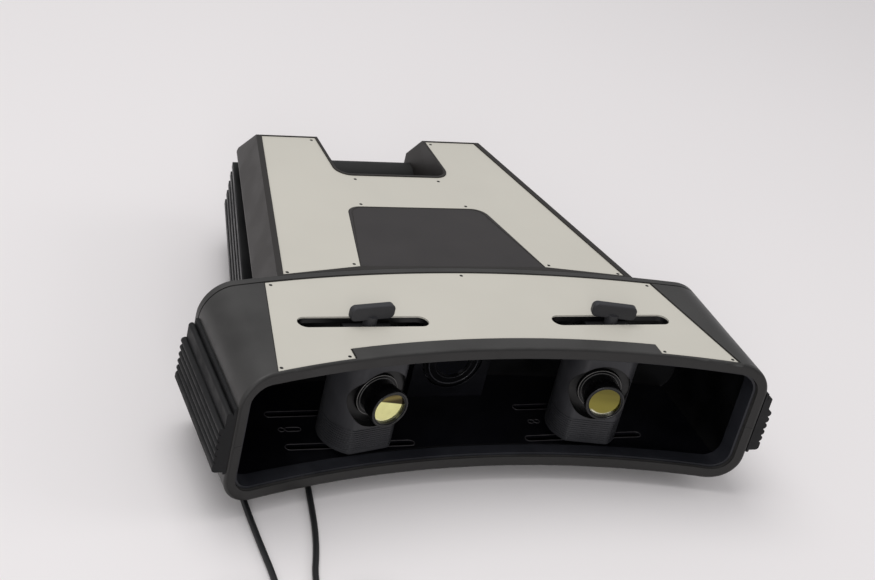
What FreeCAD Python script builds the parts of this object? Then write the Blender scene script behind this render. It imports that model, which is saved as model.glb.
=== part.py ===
import FreeCAD, Part
import math
import os

from FreeCAD import Vector, Rotation, Placement

os.makedirs("parts", exist_ok=True)

# Driving dimensions, in millimetres. The desk is z = 0, +Y points away from the open front.
overall_length = 422.7
hood_half_width = 229.0
hood_bottom_height = 14.0
casing_top_height = 131.0
hood_corner_radius = 27.0
front_arc_radius = 737.1
rear_arc_radius = 972.0
hood_side_depth = 131.4
shell_seam_height = 71.0
casing_wall = 3.5
roof_thickness = 4.5
panel_thickness = 1.5
panel_sink = 1.0
seat_gap = 0.2
overrun = 12.0
rim_bead = 2.5

# Opening, rim and floor of the hood.
rim_side_width = 9.0
rim_low_width = 10.0
rim_top_width = 9.5
opening_corner_radius = 17.0
rim_depth = 18.0
liner_setback = 3.0
liner_thickness = 2.0
liner_rear_radius = 860.5
liner_mid_depth = 11.0
floor_plate_thickness = 2.5
floor_rail_width = 4.0
back_wall = 3.0
slit_width = 6.5
front_slit_reach = 110.0
front_slit_middle = 106.0
front_slit_setback = 60.1
rear_slit_reach = 108.0
rear_slit_middle = 112.0
rear_slit_setback = 104.6
dot_radius = 2.2
dot_setback = 83.6
left_dot_place = 158.0
left_dash_middle = 148.3
left_dash_reach = 12.6
right_dot_place = 65.8
right_dot_pitch = 5.6

# Light panel of the hood.
hood_panel_front_border = 29.0
hood_panel_rear_border = 52.8
hood_panel_rear_lip = 6.0
hood_panel_edge_lip = 2.7
hood_panel_mid_lip = 15.6
hood_panel_step_border = 96.0
rear_groove_width = 1.5
rear_groove_depth = 1.2
slot_width = 15.0
slot_length = 110.0
slot_middle = 110.3
slot_setback = 78.85

# Side grips.
grip_front_gap = 1.2
grip_length = 122.0
grip_low_border = 32.0
grip_high_border = 25.5
grip_plate = 2.2
grip_smooth_drop = 3.8
grip_smooth_depth = 7.2
grip_hump_radius = 2.4
grip_rib_depth = 11.3
grip_rib_count = 5
grip_rib_drop = 20.2
grip_rib_gap = 0.6
grip_groove_depth = 2.3
grip_foot_border = 2.0
grip_foot_height = 8.6

# Body behind the hood.
body_top_rear_half = 107.1
body_top_slope_share = 0.2
body_chamfer_width = 11.4
body_chamfer_height = 32.0
lid_skirt = 2.0
body_rear_top_chamfer = 29.0
body_rear_low_radius = 20.0
body_border = 5.5
body_panel_rear_gap = 30.0
body_panel_front_gap = 2.0
body_panel_front_rise = 13.5
centre_front_half = 85.7
centre_rear_half = 64.7
centre_notch_gap = 59.9
centre_corner_radius = 14.0
centre_front_gap = 3.5
notch_half_width = 53.5
notch_depth = 100.0
notch_corner_radius = 12.5
notch_border = 2.5
handle_radius = 16.0
handle_depth = 49.0

# Finned sides.
fin_count = 5
fin_depth = 7.5
fin_proud = 3.0
fin_step = 0.2
fin_thickness = 5.0
fin_drop = 22.0
fin_top_gap = 11.0
fin_low_gap = 32.0
fin_backing = 1.5
fin_rear_gap = 4.0
fin_front_gap = 8.0

# Underside: base plate, threaded insert, feet.
base_plate_half_width = 48.0
base_plate_length = 120.0
base_plate_setback = 72.9
base_plate_thickness = 4.0
base_plate_corner = 12.0
insert_wall_radius = 3.97
insert_outer_radius = 7.0
insert_depth = 12.0
insert_flange_radius = 10.0
insert_flange_thickness = 1.5
foot_radius = 9.0
foot_corner = 2.0
rear_foot_reach = 106.0
rear_foot_setback = 61.35
front_foot_reach = 155.0
front_foot_setback = 107.3
screw_head_radius = 1.3
screw_shank_radius = 0.8
screw_head_height = 0.8
screw_inset = 4.5
screw_drive_radius = 0.5
base_screw_radius = 3.0
base_screw_height = 1.6
base_screw_shank = 1.5
base_screw_inset = 10.0

# Rear panels and their fittings.
rear_panel_thickness = 2.5
rear_panel_height = 55.0
rear_panel_high_gap = 2.0
rear_panel_inner_gap = 5.5
rear_panel_outer_gap = 3.1
rear_window_margin = 3.0
inlet_inset = 14.0
inlet_drop = 29.0
inlet_radius = 5.5
inlet_bore_radius = 3.4
inlet_pin_radius = 1.0
inlet_depth = 12.0
inlet_block = 14.0
socket_inset = 11.0
socket_width = 12.0
socket_height = 11.0
socket_depth = 14.0
socket_wall = 0.8
socket_tongue_height = 4.0
switch_drop = 11.0
rocker_half_length = 8.5
rocker_half_height = 5.4
rocker_rear_depth = 3.0
rocker_rise = 1.6
rocker_tilt = 8.0
rocker_gap = 0.5
rocker_pin_radius = 1.2
rocker_pin_length = 2.2
rocker_play = 0.05
switch_wall = 2.5
switch_depth = 12.0
rocker_axis_inset = 4.5
grille_bar_count = 7
grille_bar_pitch = 5.4
grille_bar_gap = 3.0
grille_half_length = 17.0
fan_half_size = 20.0
fan_depth = 10.0
fan_bore_radius = 18.6
fan_hub_radius = 8.0
fan_blade_radius = 17.8
fan_blade_count = 7
fan_blade_thickness = 1.2
fan_blade_lean = 35.0
fan_post_radius = 1.5
fan_post_play = 0.05
fan_motor_thickness = 2.0
fan_strut_width = 2.5
fan_hub_gap = 0.5

# Boards inside the body.
board_thickness = 1.6
board_rise = 3.5
main_board_half_width = 95.0
main_board_gap = 6.35
main_board_insert_gap = 8.6
board_rail_width = 4.0
chip_size = 22.0
chip_height = 4.0
chip_spread = 45.0
power_board_outer_gap = 1.0
power_board_inner_gap = 3.0
power_board_rear_gap = 26.35
power_board_depth = 60.0
power_part_radius = 6.0
power_part_height = 22.0
power_part_spread = 9.0
coil_block_size = 20.0
coil_block_height = 16.0

# Projector in the middle of the hood.
shroud_half_width = 35.0
shroud_reach = 35.1
shroud_wall = 2.5
shroud_top_gap = 0.3
projector_axis_rise = 36.5
projector_half_width = 28.0
projector_front_gap = 12.5
projector_length = 73.0
projector_low_rise = 8.0
projector_high_gap = 19.0
projector_foot_half = 20.0
projector_foot_length = 40.0
projector_window_gap = 3.0
projector_barrel_radius = 22.0
projector_barrel_length = 16.0
projector_ring_radius = 26.0
projector_ring_width = 8.0
projector_ring_play = 0.06
projector_ring_gap = 1.2
projector_flange_gap = 0.4
projector_lip_radius = 23.2
projector_lip_width = 1.5
projector_glass_radius = 15.0
projector_glass_thickness = 3.0
projector_bore_radius = 12.0
knurl_count = 36
knurl_depth = 0.7
sink_fin_count = 8
sink_base = 4.0
sink_depth = 26.0
sink_fin_thickness = 2.4

# Camera units, one on each side.
left_stem_shift = 4.9
right_stem_shift = 0.2
pod_inboard_shift = 4.1
pod_radius = 31.0
pod_flat_distance = 25.0
pod_flat_corner = 6.0
pod_wall = 3.0
pod_lead = 8.0
pod_low_gap = 3.8
pod_face_distance = 16.0
pod_scoop_radius = 26.0
pod_shelf_thickness = 3.0
pod_groove_count = 10
pod_groove_pitch = 2.1
pod_groove_depth = 0.6
pod_groove_height = 1.0
pod_groove_start = 3.1
lens_axis_depth = 52.7
toe_in = 12.0
camera_half_width = 14.5
camera_length = 30.0
camera_front_distance = 8.0
camera_port_radius = 10.0
camera_port_depth = 2.0
carriage_half_length = 20.0
carriage_half_depth = 13.0
stem_radius = 5.5
stem_play = 0.06
stem_sink = 3.0
carriage_height = 6.5
clamp_rise = 3.0
clamp_length = 38.5
clamp_thickness = 6.5
clamp_height = 12.5
clamp_corner = 4.5
clamp_edge = 1.2
left_clamp_turn = 8.0
right_clamp_turn = -13.0
barrel_radius = 13.0
barrel_flange_radius = 14.3
barrel_base_radius = 18.5
barrel_base_gap = 0.5
barrel_base_width = 5.5
barrel_front_radius = 16.5
barrel_front_distance = 39.1
barrel_front_width = 6.0
barrel_bore_radius = 9.5
face_hole_gap = 0.5
focus_ring_radius = 15.6
focus_ring_width = 7.0
focus_ring_gap = 0.4
filter_radius = 13.4
filter_thickness = 1.2
filter_inset = 2.0
filter_play = 0.05

# Leads: 1.8 m each, 5 mm across, put away in neat coils in front of the scanner.
lead_diameter = 5.0
lead_length = 1800.0
route_reach_share = 0.45
coil_turn_gap = 0.6
coil_inward_halves = 6
power_route = [(-90.0, 224.0, 50.0), (-90.0, 224.0, 24.5), (-90.5, 200.0, 2.5), (-92.5, 148.0, 2.5),
               (-104.0, 88.0, 2.5), (-132.0, 25.0, 2.5), (-165.0, -36.0, 2.5), (-190.0, -100.0, 2.5),
               (-201.4, -165.0, 2.5), (-202.8, -232.0, 2.5), (-202.4, -289.0, 2.5), (-208.0, -334.0, 2.5)]
data_route = [(-70.0, 226.0, 50.0), (-70.0, 226.0, 24.5), (-70.0, 202.0, 2.5), (-69.0, 151.0, 2.5),
              (-70.5, 90.0, 2.5), (-79.0, 30.0, 2.5), (-96.0, -30.0, 2.5), (-118.0, -83.0, 2.5),
              (-138.5, -132.0, 2.5), (-147.2, -187.0, 2.5), (-158.0, -243.0, 2.5), (-175.5, -292.0, 2.5),
              (-173.5, -340.0, 2.5)]
relief_length = 10.0
relief_radius = 4.4
plug_relief_length = 18.0
plug_head_half = 6.5
plug_head_height = 14.0
plug_head_corner = 2.0
plug_face_gap = 1.0
power_tip_radius = 2.7
power_tip_bore = 1.1
power_tip_length = 9.5
power_grip_radius = 6.0
power_grip_length = 30.0
data_tip_width = 10.0
data_tip_height = 8.6
data_tip_length = 9.0
data_grip_width = 16.0
data_grip_height = 8.0
data_grip_length = 32.0
data_plug_tip_width = 12.0
data_plug_tip_height = 4.5
data_plug_tip_length = 18.0

# Places worked out from the driving dimensions.
rim_lean_share = hood_half_width / front_arc_radius
rim_corner_cut = rim_bead * ((1 + rim_lean_share) / math.sqrt(1 - rim_lean_share ** 2) - 1)
front_place = -overall_length / 2 - rim_corner_cut
rear_place = overall_length / 2
opening_half_width = hood_half_width - rim_side_width
opening_low_height = hood_bottom_height + rim_low_width
opening_high_height = casing_top_height - rim_top_width
hood_panel_front_half = hood_half_width - hood_panel_front_border
hood_panel_rear_half = hood_half_width - hood_panel_rear_border
hood_panel_step_half = hood_half_width - hood_panel_step_border
slot_place = front_place + slot_setback
front_slit_place = front_place + front_slit_setback
rear_slit_place = front_place + rear_slit_setback
dot_place = front_place + dot_setback
grip_low_height = hood_bottom_height + grip_low_border
grip_high_height = casing_top_height - grip_high_border
grip_foot_low_height = grip_low_height + grip_foot_border
grip_foot_high_height = grip_foot_low_height + grip_foot_height
grip_first_rib_height = grip_high_height - grip_rib_drop
grip_rib_pitch = (grip_first_rib_height - grip_foot_high_height) / (grip_rib_count - 1 / 2)
grip_rib_radius = (grip_rib_pitch - grip_rib_gap) / 2
body_waist_height = casing_top_height - body_chamfer_height
lid_bottom_height = body_waist_height - lid_skirt
handle_height = casing_top_height - handle_depth
fin_top_height = lid_bottom_height - fin_top_gap
fin_pitch = (fin_top_height - hood_bottom_height - fin_low_gap) / (fin_count - 1)
panel_top = casing_top_height - panel_sink
panel_seat = panel_top - panel_thickness
roof_under = panel_seat - roof_thickness
case_floor = hood_bottom_height + casing_wall
front_arc_middle = front_place - math.sqrt(front_arc_radius ** 2 - hood_half_width ** 2)
rear_arc_middle = (front_place + hood_side_depth
                   - math.sqrt(rear_arc_radius ** 2 - hood_half_width ** 2))
notch_front = rear_place - notch_depth
panel_half_rear = body_top_rear_half - body_border + body_top_slope_share * body_panel_rear_gap
rear_inner = rear_place - casing_wall
base_plate_middle = rear_arc_middle + rear_arc_radius + base_plate_setback
rear_foot_place = rear_place - rear_foot_setback
front_foot_place = front_place + front_foot_setback
rear_panel_high_height = lid_bottom_height - rear_panel_high_gap
rear_panel_low_height = rear_panel_high_height - rear_panel_height
rear_panel_inner_half = notch_half_width + rear_panel_inner_gap
rear_panel_outer_half = body_top_rear_half - rear_panel_outer_gap
rear_panel_middle = (rear_panel_inner_half + rear_panel_outer_half) / 2
inlet_place = rear_panel_outer_half - inlet_inset
inlet_height = rear_panel_high_height - inlet_drop
socket_place = rear_panel_inner_half + socket_inset
switch_height = rear_panel_high_height - switch_drop
fan_height = (rear_panel_low_height + rear_panel_high_height) / 2
board_height = case_floor + board_rise
main_board_front = base_plate_middle + insert_outer_radius + main_board_insert_gap
main_board_depth = notch_front - main_board_gap - main_board_front
power_board_left = rear_panel_outer_half - power_board_outer_gap
power_board_right = rear_panel_inner_half + power_board_inner_gap
power_board_front = rear_place - power_board_rear_gap - power_board_depth
shroud_front = rear_arc_middle + rear_arc_radius - shroud_reach
projector_height = opening_low_height + projector_axis_rise
projector_low_height = opening_low_height + projector_low_rise
projector_high_height = roof_under - projector_high_gap
left_stem_place = left_stem_shift - slot_middle
right_stem_place = slot_middle - right_stem_shift
pod_place = slot_place - pod_lead
pod_low_height = opening_low_height + pod_low_gap
pod_high_height = roof_under - carriage_height
lens_axis_height = casing_top_height - lens_axis_depth
sides = {"left": -1, "right": 1}


def front_arc(x, setback=0):
    return front_arc_middle + math.sqrt((front_arc_radius + setback) ** 2 - x ** 2)


def rear_arc(x, setback=0):
    return rear_arc_middle + math.sqrt((rear_arc_radius + setback) ** 2 - x ** 2)


def save(name, shape):
    solids = shape.Solids
    print(name, "solids", len(solids), "valid", shape.isValid(), "volume", round(shape.Volume, 1))
    if len(solids) == 1:
        shape = solids[0]
    else:
        shape = Part.makeCompound(solids)
    shape.exportStep("parts/" + name + ".step")


def box(x0, x1, y0, y1, z0, z1):
    return Part.makeBox(x1 - x0, y1 - y0, z1 - z0, Vector(x0, y0, z0))


def rod(radius, start, end):
    reach = end - start
    return Part.makeCylinder(radius, reach.Length, start, reach)


def ring(outer, inner, start, end):
    return rod(outer, start, end).cut(rod(inner, start - (end - start), end + (end - start)))


# A flat outline is a list of points, all in one plane.
def outline_face(points):
    return Part.Face(Part.makePolygon(points + [points[0]]))


def plan_prism(points, low, high):
    return outline_face([Vector(x, y, low) for x, y in points]).extrude(Vector(0, 0, high - low))


# Rounded rectangle in the XZ plane, extruded along Y.
def rounded_bar(half, low, high, radius, start, end):
    bar = box(-half, half, start, end, low, high)
    upright = [edge for edge in bar.Edges if abs(edge.tangentAt(edge.FirstParameter).y) > 1 / 2]
    return bar.makeFillet(radius, upright)


def round_uprights(shape, radius):
    upright = [edge for edge in shape.Edges if abs(edge.tangentAt(edge.FirstParameter).z) > 1 / 2]
    return shape.makeFillet(radius, upright)


# Solid band between two level arcs, wider than what it cuts.
def arc_band(first, second, half, low, high):
    def arc(curve):
        return Part.Arc(Vector(-half, curve(half), low), Vector(0, curve(0), low),
                        Vector(half, curve(half), low)).toShape()
    near, far = arc(first), arc(second)
    left = Part.makeLine(near.Vertexes[0].Point, far.Vertexes[0].Point)
    right = Part.makeLine(near.Vertexes[-1].Point, far.Vertexes[-1].Point)
    wire = Part.Wire([near, right, far, left])
    return Part.Face(wire).extrude(Vector(0, 0, high - low))


def hood_band(front_setback, rear_setback, half=hood_half_width + overrun):
    return arc_band(lambda x: front_arc(x, front_setback), lambda x: rear_arc(x, rear_setback),
                    half, hood_bottom_height - overrun, casing_top_height + overrun)


def slot_shape(middle, place, length, width, low, high):
    reach = (length - width) / 2
    radius = width / 2
    return (box(middle - reach, middle + reach, place - radius, place + radius, low, high)
            .fuse(rod(radius, Vector(middle - reach, place, low), Vector(middle - reach, place, high)))
            .fuse(rod(radius, Vector(middle + reach, place, low), Vector(middle + reach, place, high)))
            .removeSplitter())


def clamp_slots(low, high):
    slots = [slot_shape(side * slot_middle, slot_place, slot_length, slot_width, low, high)
             for side in sides.values()]
    return slots[0].fuse(slots[1])


# Places of the small screws, from the panels' own edges.
def hood_screw_places():
    rear_half = hood_panel_rear_half - screw_inset
    front_half = hood_panel_front_half - screw_inset
    step_half = hood_panel_step_half + screw_inset
    places = [(0, rear_arc(0, -hood_panel_rear_lip) - screw_inset)]
    for side in sides.values():
        places.append((side * rear_half, rear_arc(rear_half, -hood_panel_rear_lip) - screw_inset))
        places.append((side * front_half, front_arc(front_half, hood_panel_edge_lip) + screw_inset))
        places.append((side * step_half, front_arc(step_half, hood_panel_edge_lip) + screw_inset))
    return places


def body_screw_places():
    outer = body_panel_corners()
    centre_rear = notch_front - centre_notch_gap
    places = []
    for side in sides.values():
        places.append((side * (outer[0][0] - screw_inset), outer[0][1] + screw_inset))
        places.append((side * (outer[1][0] + screw_inset), outer[1][1] + screw_inset))
        places.append((side * (centre_rear_half - centre_corner_radius), centre_rear + screw_inset))
        places.append((side * (notch_half_width - notch_corner_radius), notch_front - 2 * screw_inset))
        places.append((side * (notch_half_width + notch_border + screw_inset), outer[2][1] - screw_inset))
    return places


def screw(place, seat):
    x, y = place
    head = rod(screw_head_radius, Vector(x, y, seat - screw_head_height), Vector(x, y, seat))
    shank = rod(screw_shank_radius, Vector(x, y, seat - panel_thickness), Vector(x, y, seat))
    drive = rod(screw_drive_radius, Vector(x, y, seat - screw_head_height / 2),
                Vector(x, y, seat + overrun))
    return head.fuse(shank).cut(drive)


def screw_seat(place, seat):
    x, y = place
    head_radius = screw_head_radius + seat_gap
    shank_radius = screw_shank_radius + seat_gap
    head = rod(head_radius, Vector(x, y, seat - screw_head_height), Vector(x, y, seat + overrun))
    shank = rod(shank_radius, Vector(x, y, seat - panel_thickness), Vector(x, y, seat + overrun))
    return head.fuse(shank)


def cut_all(shape, tools):
    for tool in tools:
        shape = shape.cut(tool)
    return shape


# Hood: rounded bar between the two arcs, hollow, open in front.
def hood_panel_plan(gap, low, high):
    rear_reach = rear_arc(hood_panel_rear_half, -hood_panel_rear_lip)
    front_reach = front_arc(hood_panel_front_half, hood_panel_edge_lip)
    slope = (hood_panel_front_half - hood_panel_rear_half) / (rear_reach - front_reach)
    front_half = hood_panel_front_half + slope * overrun + gap
    rear_half = hood_panel_rear_half - slope * overrun + gap
    plan = plan_prism([(-front_half, front_reach - overrun), (front_half, front_reach - overrun),
                       (rear_half, rear_reach + overrun), (hood_panel_step_half, rear_arc(0) + overrun),
                       (-hood_panel_step_half, rear_arc(0) + overrun), (-rear_half, rear_reach + overrun)],
                      low, high)
    band = hood_band(hood_panel_edge_lip - gap, gap - hood_panel_rear_lip)
    step = hood_panel_step_half - gap
    lip = arc_band(lambda x: front_arc(x, -overrun), lambda x: front_arc(x, hood_panel_mid_lip - gap),
                   step, low - overrun, high + overrun)
    return plan.common(band).cut(lip)


def hood_outer():
    bar = rounded_bar(hood_half_width, hood_bottom_height, casing_top_height, hood_corner_radius,
                      front_place - overrun, rear_arc(0) + overrun)
    return bar.common(hood_band(0, 0))


def hood_shell():
    opening = rounded_bar(opening_half_width, opening_low_height, opening_high_height,
                          opening_corner_radius, front_place - overrun, rear_arc(0))
    opening = opening.common(hood_band(-overrun, -rear_arc_radius / 2))
    mouth = rounded_bar(opening_half_width, opening_low_height, opening_high_height,
                        opening_corner_radius, front_place - overrun, rear_arc(0) + overrun)
    mouth = mouth.common(arc_band(lambda x: front_arc(x, -2 * overrun), lambda x: front_arc(x, rim_depth),
                                  hood_half_width + overrun, hood_bottom_height - overrun,
                                  casing_top_height + overrun))
    hollow = rounded_bar(hood_half_width - casing_wall, case_floor, roof_under,
                         hood_corner_radius - casing_wall, front_place - overrun, rear_arc(0) + overrun)
    hollow = hollow.common(hood_band(rim_depth, -back_wall))
    window = box(-projector_half_width - projector_window_gap, projector_half_width + projector_window_gap,
                 rear_arc(hood_half_width), rear_arc(0) + overrun,
                 projector_low_height - projector_window_gap, projector_high_height + projector_window_gap)
    shell = hood_outer()
    front_edges = [edge for edge in shell.Edges
                   if abs(front_arc(edge.CenterOfMass.x) - edge.CenterOfMass.y) < rim_bead]
    shell = shell.makeFillet(rim_bead, front_edges)
    core = rounded_bar(hood_half_width - rear_groove_depth, hood_bottom_height + rear_groove_depth,
                       casing_top_height - rear_groove_depth, hood_corner_radius - rear_groove_depth,
                       front_place - overrun, rear_arc(0) + overrun)
    groove = arc_band(lambda x: rear_arc(x, -hood_panel_rear_lip - rear_groove_width),
                      lambda x: rear_arc(x, -hood_panel_rear_lip), hood_half_width + overrun,
                      hood_bottom_height - overrun, casing_top_height + overrun).cut(core)
    return cut_all(shell, [mouth, hollow, window, groove])


def make_hood():
    shell = hood_shell()
    width = hood_half_width + overrun
    halves = {"hood_upper_shell": box(-width, width, front_place - overrun, rear_place, shell_seam_height,
                                      casing_top_height + overrun),
              "hood_lower_shell": box(-width, width, front_place - overrun, rear_place,
                                      hood_bottom_height - overrun, shell_seam_height)}
    upper = shell.common(halves["hood_upper_shell"])
    recess = hood_panel_plan(seat_gap, panel_seat, casing_top_height + overrun)
    upper = upper.cut(recess).cut(clamp_slots(roof_under - overrun, casing_top_height + overrun))
    save("hood_upper_shell", upper)
    save("hood_lower_shell", shell.common(halves["hood_lower_shell"]))
    panel = hood_panel_plan(0, panel_seat, panel_top)
    panel = panel.cut(clamp_slots(panel_seat - overrun, panel_top + overrun))
    save("hood_top_panel", cut_all(panel, [screw_seat(place, panel_top) for place in hood_screw_places()]))


# Liner band just inside the rim.
def make_liner():
    middle = front_arc(0, liner_setback) + liner_mid_depth - liner_rear_radius

    def liner_arc(x):
        return middle + math.sqrt(liner_rear_radius ** 2 - x ** 2)

    outer = rounded_bar(opening_half_width - seat_gap, opening_low_height + seat_gap,
                        opening_high_height - seat_gap, opening_corner_radius - seat_gap,
                        front_place, rear_arc(0))
    inset = liner_thickness + seat_gap
    inner = rounded_bar(opening_half_width - inset, opening_low_height + inset,
                        opening_high_height - inset, opening_corner_radius - inset,
                        front_place - overrun, rear_arc(0) + overrun)
    band = arc_band(lambda x: front_arc(x, liner_setback), liner_arc, opening_half_width + overrun / 2,
                    hood_bottom_height, casing_top_height)
    save("opening_liner", outer.cut(inner).common(band))


# Floor plate with its slits, standing on two long rails.
def make_floor_plate():
    under = opening_low_height - floor_plate_thickness
    half = hood_half_width - casing_wall - seat_gap
    corner = hood_corner_radius - casing_wall
    bar = rounded_bar(half, case_floor, roof_under, corner - seat_gap, front_place, rear_arc(0))
    band = hood_band(rim_depth + seat_gap, -back_wall - seat_gap)
    core = hood_band(rim_depth + floor_rail_width, -back_wall - floor_rail_width)
    wide = hood_half_width + overrun
    plate = bar.common(band).common(box(-wide, wide, front_place, rear_place,
                                        case_floor, opening_low_height))
    relief = core.common(box(-wide, wide, front_place, rear_place, case_floor - overrun, under))
    plate = plate.cut(relief)
    low, high = under - overrun, opening_low_height + overrun
    for side in sides.values():
        plate = plate.cut(slot_shape(side * front_slit_middle, front_slit_place, front_slit_reach,
                                     slit_width, low, high))
        plate = plate.cut(slot_shape(side * rear_slit_middle, rear_slit_place, rear_slit_reach,
                                     slit_width, low, high))
    dots = [-left_dot_place, right_dot_place, right_dot_place + right_dot_pitch]
    for x in dots:
        plate = plate.cut(rod(dot_radius, Vector(x, dot_place, low), Vector(x, dot_place, high)))
    plate = plate.cut(slot_shape(-left_dash_middle, dot_place, left_dash_reach, 2 * dot_radius, low, high))
    save("slotted_floor_plate", plate)


# Grips: a backing plate, a smooth head and six ribs whose front ends taper in.
def make_grips():
    front = front_place + grip_front_gap
    rear = front + grip_length
    hump_height = grip_high_height - grip_smooth_drop - grip_hump_radius
    first_top = grip_first_rib_height + grip_rib_radius
    for name, side in sides.items():
        def bar(depth, low, high):
            near, far = sorted((side * hood_half_width, side * (hood_half_width + depth)))
            return box(near, far, front, rear, low, high)

        def bead(radius, depth, height):
            x = side * (hood_half_width + depth - radius)
            return rod(radius, Vector(x, front, height), Vector(x, rear, height))
        pieces = [bar(grip_smooth_depth, grip_foot_low_height, hump_height),
                  bead(grip_hump_radius, grip_smooth_depth, hump_height),
                  bar(grip_rib_depth - grip_groove_depth, grip_foot_low_height + grip_rib_radius,
                      first_top - grip_rib_gap)]
        heights = [grip_first_rib_height - index * grip_rib_pitch for index in range(grip_rib_count)]
        heights += [grip_foot_high_height - grip_rib_radius, grip_foot_low_height + grip_rib_radius]
        pieces += [bead(grip_rib_radius, grip_rib_depth, height) for height in heights]
        pieces += [bar(grip_rib_depth, heights[-1], heights[-2]),
                   bar(grip_rib_depth - grip_rib_radius, grip_foot_low_height, heights[-1])]
        grip = bar(grip_plate, grip_low_height, grip_high_height)
        for piece in pieces:
            grip = grip.fuse(piece)
        save("side_grip_" + name, grip.removeSplitter())


# Body: tapered plan, chamfered lid, sloping ends of the two arms, notch between them.
def top_half(y):
    return body_top_rear_half + body_top_slope_share * (rear_place - y)


def body_plan(height_share, inset, height, front, rear):
    grow = body_chamfer_width * height_share - inset * math.sqrt(1 + body_top_slope_share ** 2)
    return [Vector(-top_half(front) - grow, front, height), Vector(top_half(front) + grow, front, height),
            Vector(top_half(rear) + grow, rear, height), Vector(-top_half(rear) - grow, rear, height)]


def body_front():
    return rear_arc(hood_half_width)


def body_block(inset, top, waist, bottom, low_inset):
    front, rear = body_front() - overrun, rear_place + overrun
    share = (casing_top_height - top) / (casing_top_height - body_waist_height)
    upper = [Part.makePolygon(points + [points[0]]) for points in
             (body_plan(1, inset, waist, front, rear), body_plan(share, inset, top, front, rear))]
    block = Part.makeLoft(upper, True, True)
    lower = outline_face(body_plan(1, inset + low_inset, bottom, front, rear))
    return block, lower.extrude(Vector(0, 0, waist - bottom))


def side_profile(inset, low, top):
    rear = rear_place - inset
    front = body_front() - 2 * overrun
    half_turn = math.sqrt(1 / 2)
    upper = body_rear_top_chamfer - inset * 2 * (1 - half_turn)
    lower = body_rear_low_radius - inset
    corners = [Vector(0, front, low), Vector(0, rear - lower, low), Vector(0, rear, low + lower),
               Vector(0, rear, top - upper), Vector(0, rear - upper, top), Vector(0, front, top)]
    low_mid = Vector(0, rear - lower + lower * half_turn, low + lower - lower * half_turn)
    edges = [Part.makeLine(corners[0], corners[1]), Part.Arc(corners[1], low_mid, corners[2]).toShape(),
             Part.makeLine(corners[2], corners[3]), Part.makeLine(corners[3], corners[4]),
             Part.makeLine(corners[4], corners[5]), Part.makeLine(corners[5], corners[0])]
    face = Part.Face(Part.Wire(edges))
    face.translate(Vector(-hood_half_width, 0, 0))
    return face.extrude(Vector(2 * hood_half_width, 0, 0))


def notch_tool(grow):
    half = notch_half_width + grow
    low, high = hood_bottom_height - overrun, casing_top_height + overrun
    tool = box(-half, half, notch_front - grow, rear_place + half, low, high)
    return round_uprights(tool, notch_corner_radius + grow)


def body_tail():
    return arc_band(lambda x: rear_arc(x, seat_gap), lambda x: rear_arc(x, overall_length),
                    hood_half_width, hood_bottom_height - overrun, casing_top_height + overrun)


def body_panel_corners():
    half = panel_half_rear + body_top_slope_share * (overall_length / 2)
    for _ in range(3):
        place = rear_arc(half) + body_panel_front_gap
        half = panel_half_rear + body_top_slope_share * (rear_place - body_panel_rear_gap - place)
    rise = body_panel_front_rise
    rear = rear_place - body_panel_rear_gap
    return [(half, place), (centre_front_half, place + rise), (panel_half_rear, rear)]


def centre_front():
    return rear_arc(0) + centre_front_gap


def centre_plan(gap, low, high):
    front, rear = centre_front() - gap, notch_front - centre_notch_gap + gap
    plate = plan_prism([(-centre_front_half - gap, front), (centre_front_half + gap, front),
                        (centre_rear_half + gap, rear), (-centre_rear_half - gap, rear)], low, high)
    corners = [edge for edge in plate.Edges if abs(edge.tangentAt(edge.FirstParameter).z) > 1 / 2
               and edge.CenterOfMass.y > 0]
    return plate.makeFillet(centre_corner_radius, corners)


def body_panel_plan(gap, low, high):
    outer, inner, rear = body_panel_corners()
    points = [(outer[0] + gap, outer[1] - gap), (rear[0] + gap, rear[1] + gap),
              (-rear[0] - gap, rear[1] + gap), (-outer[0] - gap, outer[1] - gap),
              (-inner[0], inner[1] - gap), (inner[0], inner[1] - gap)]
    return plan_prism(points, low, high).cut(notch_tool(notch_border - gap))


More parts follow.
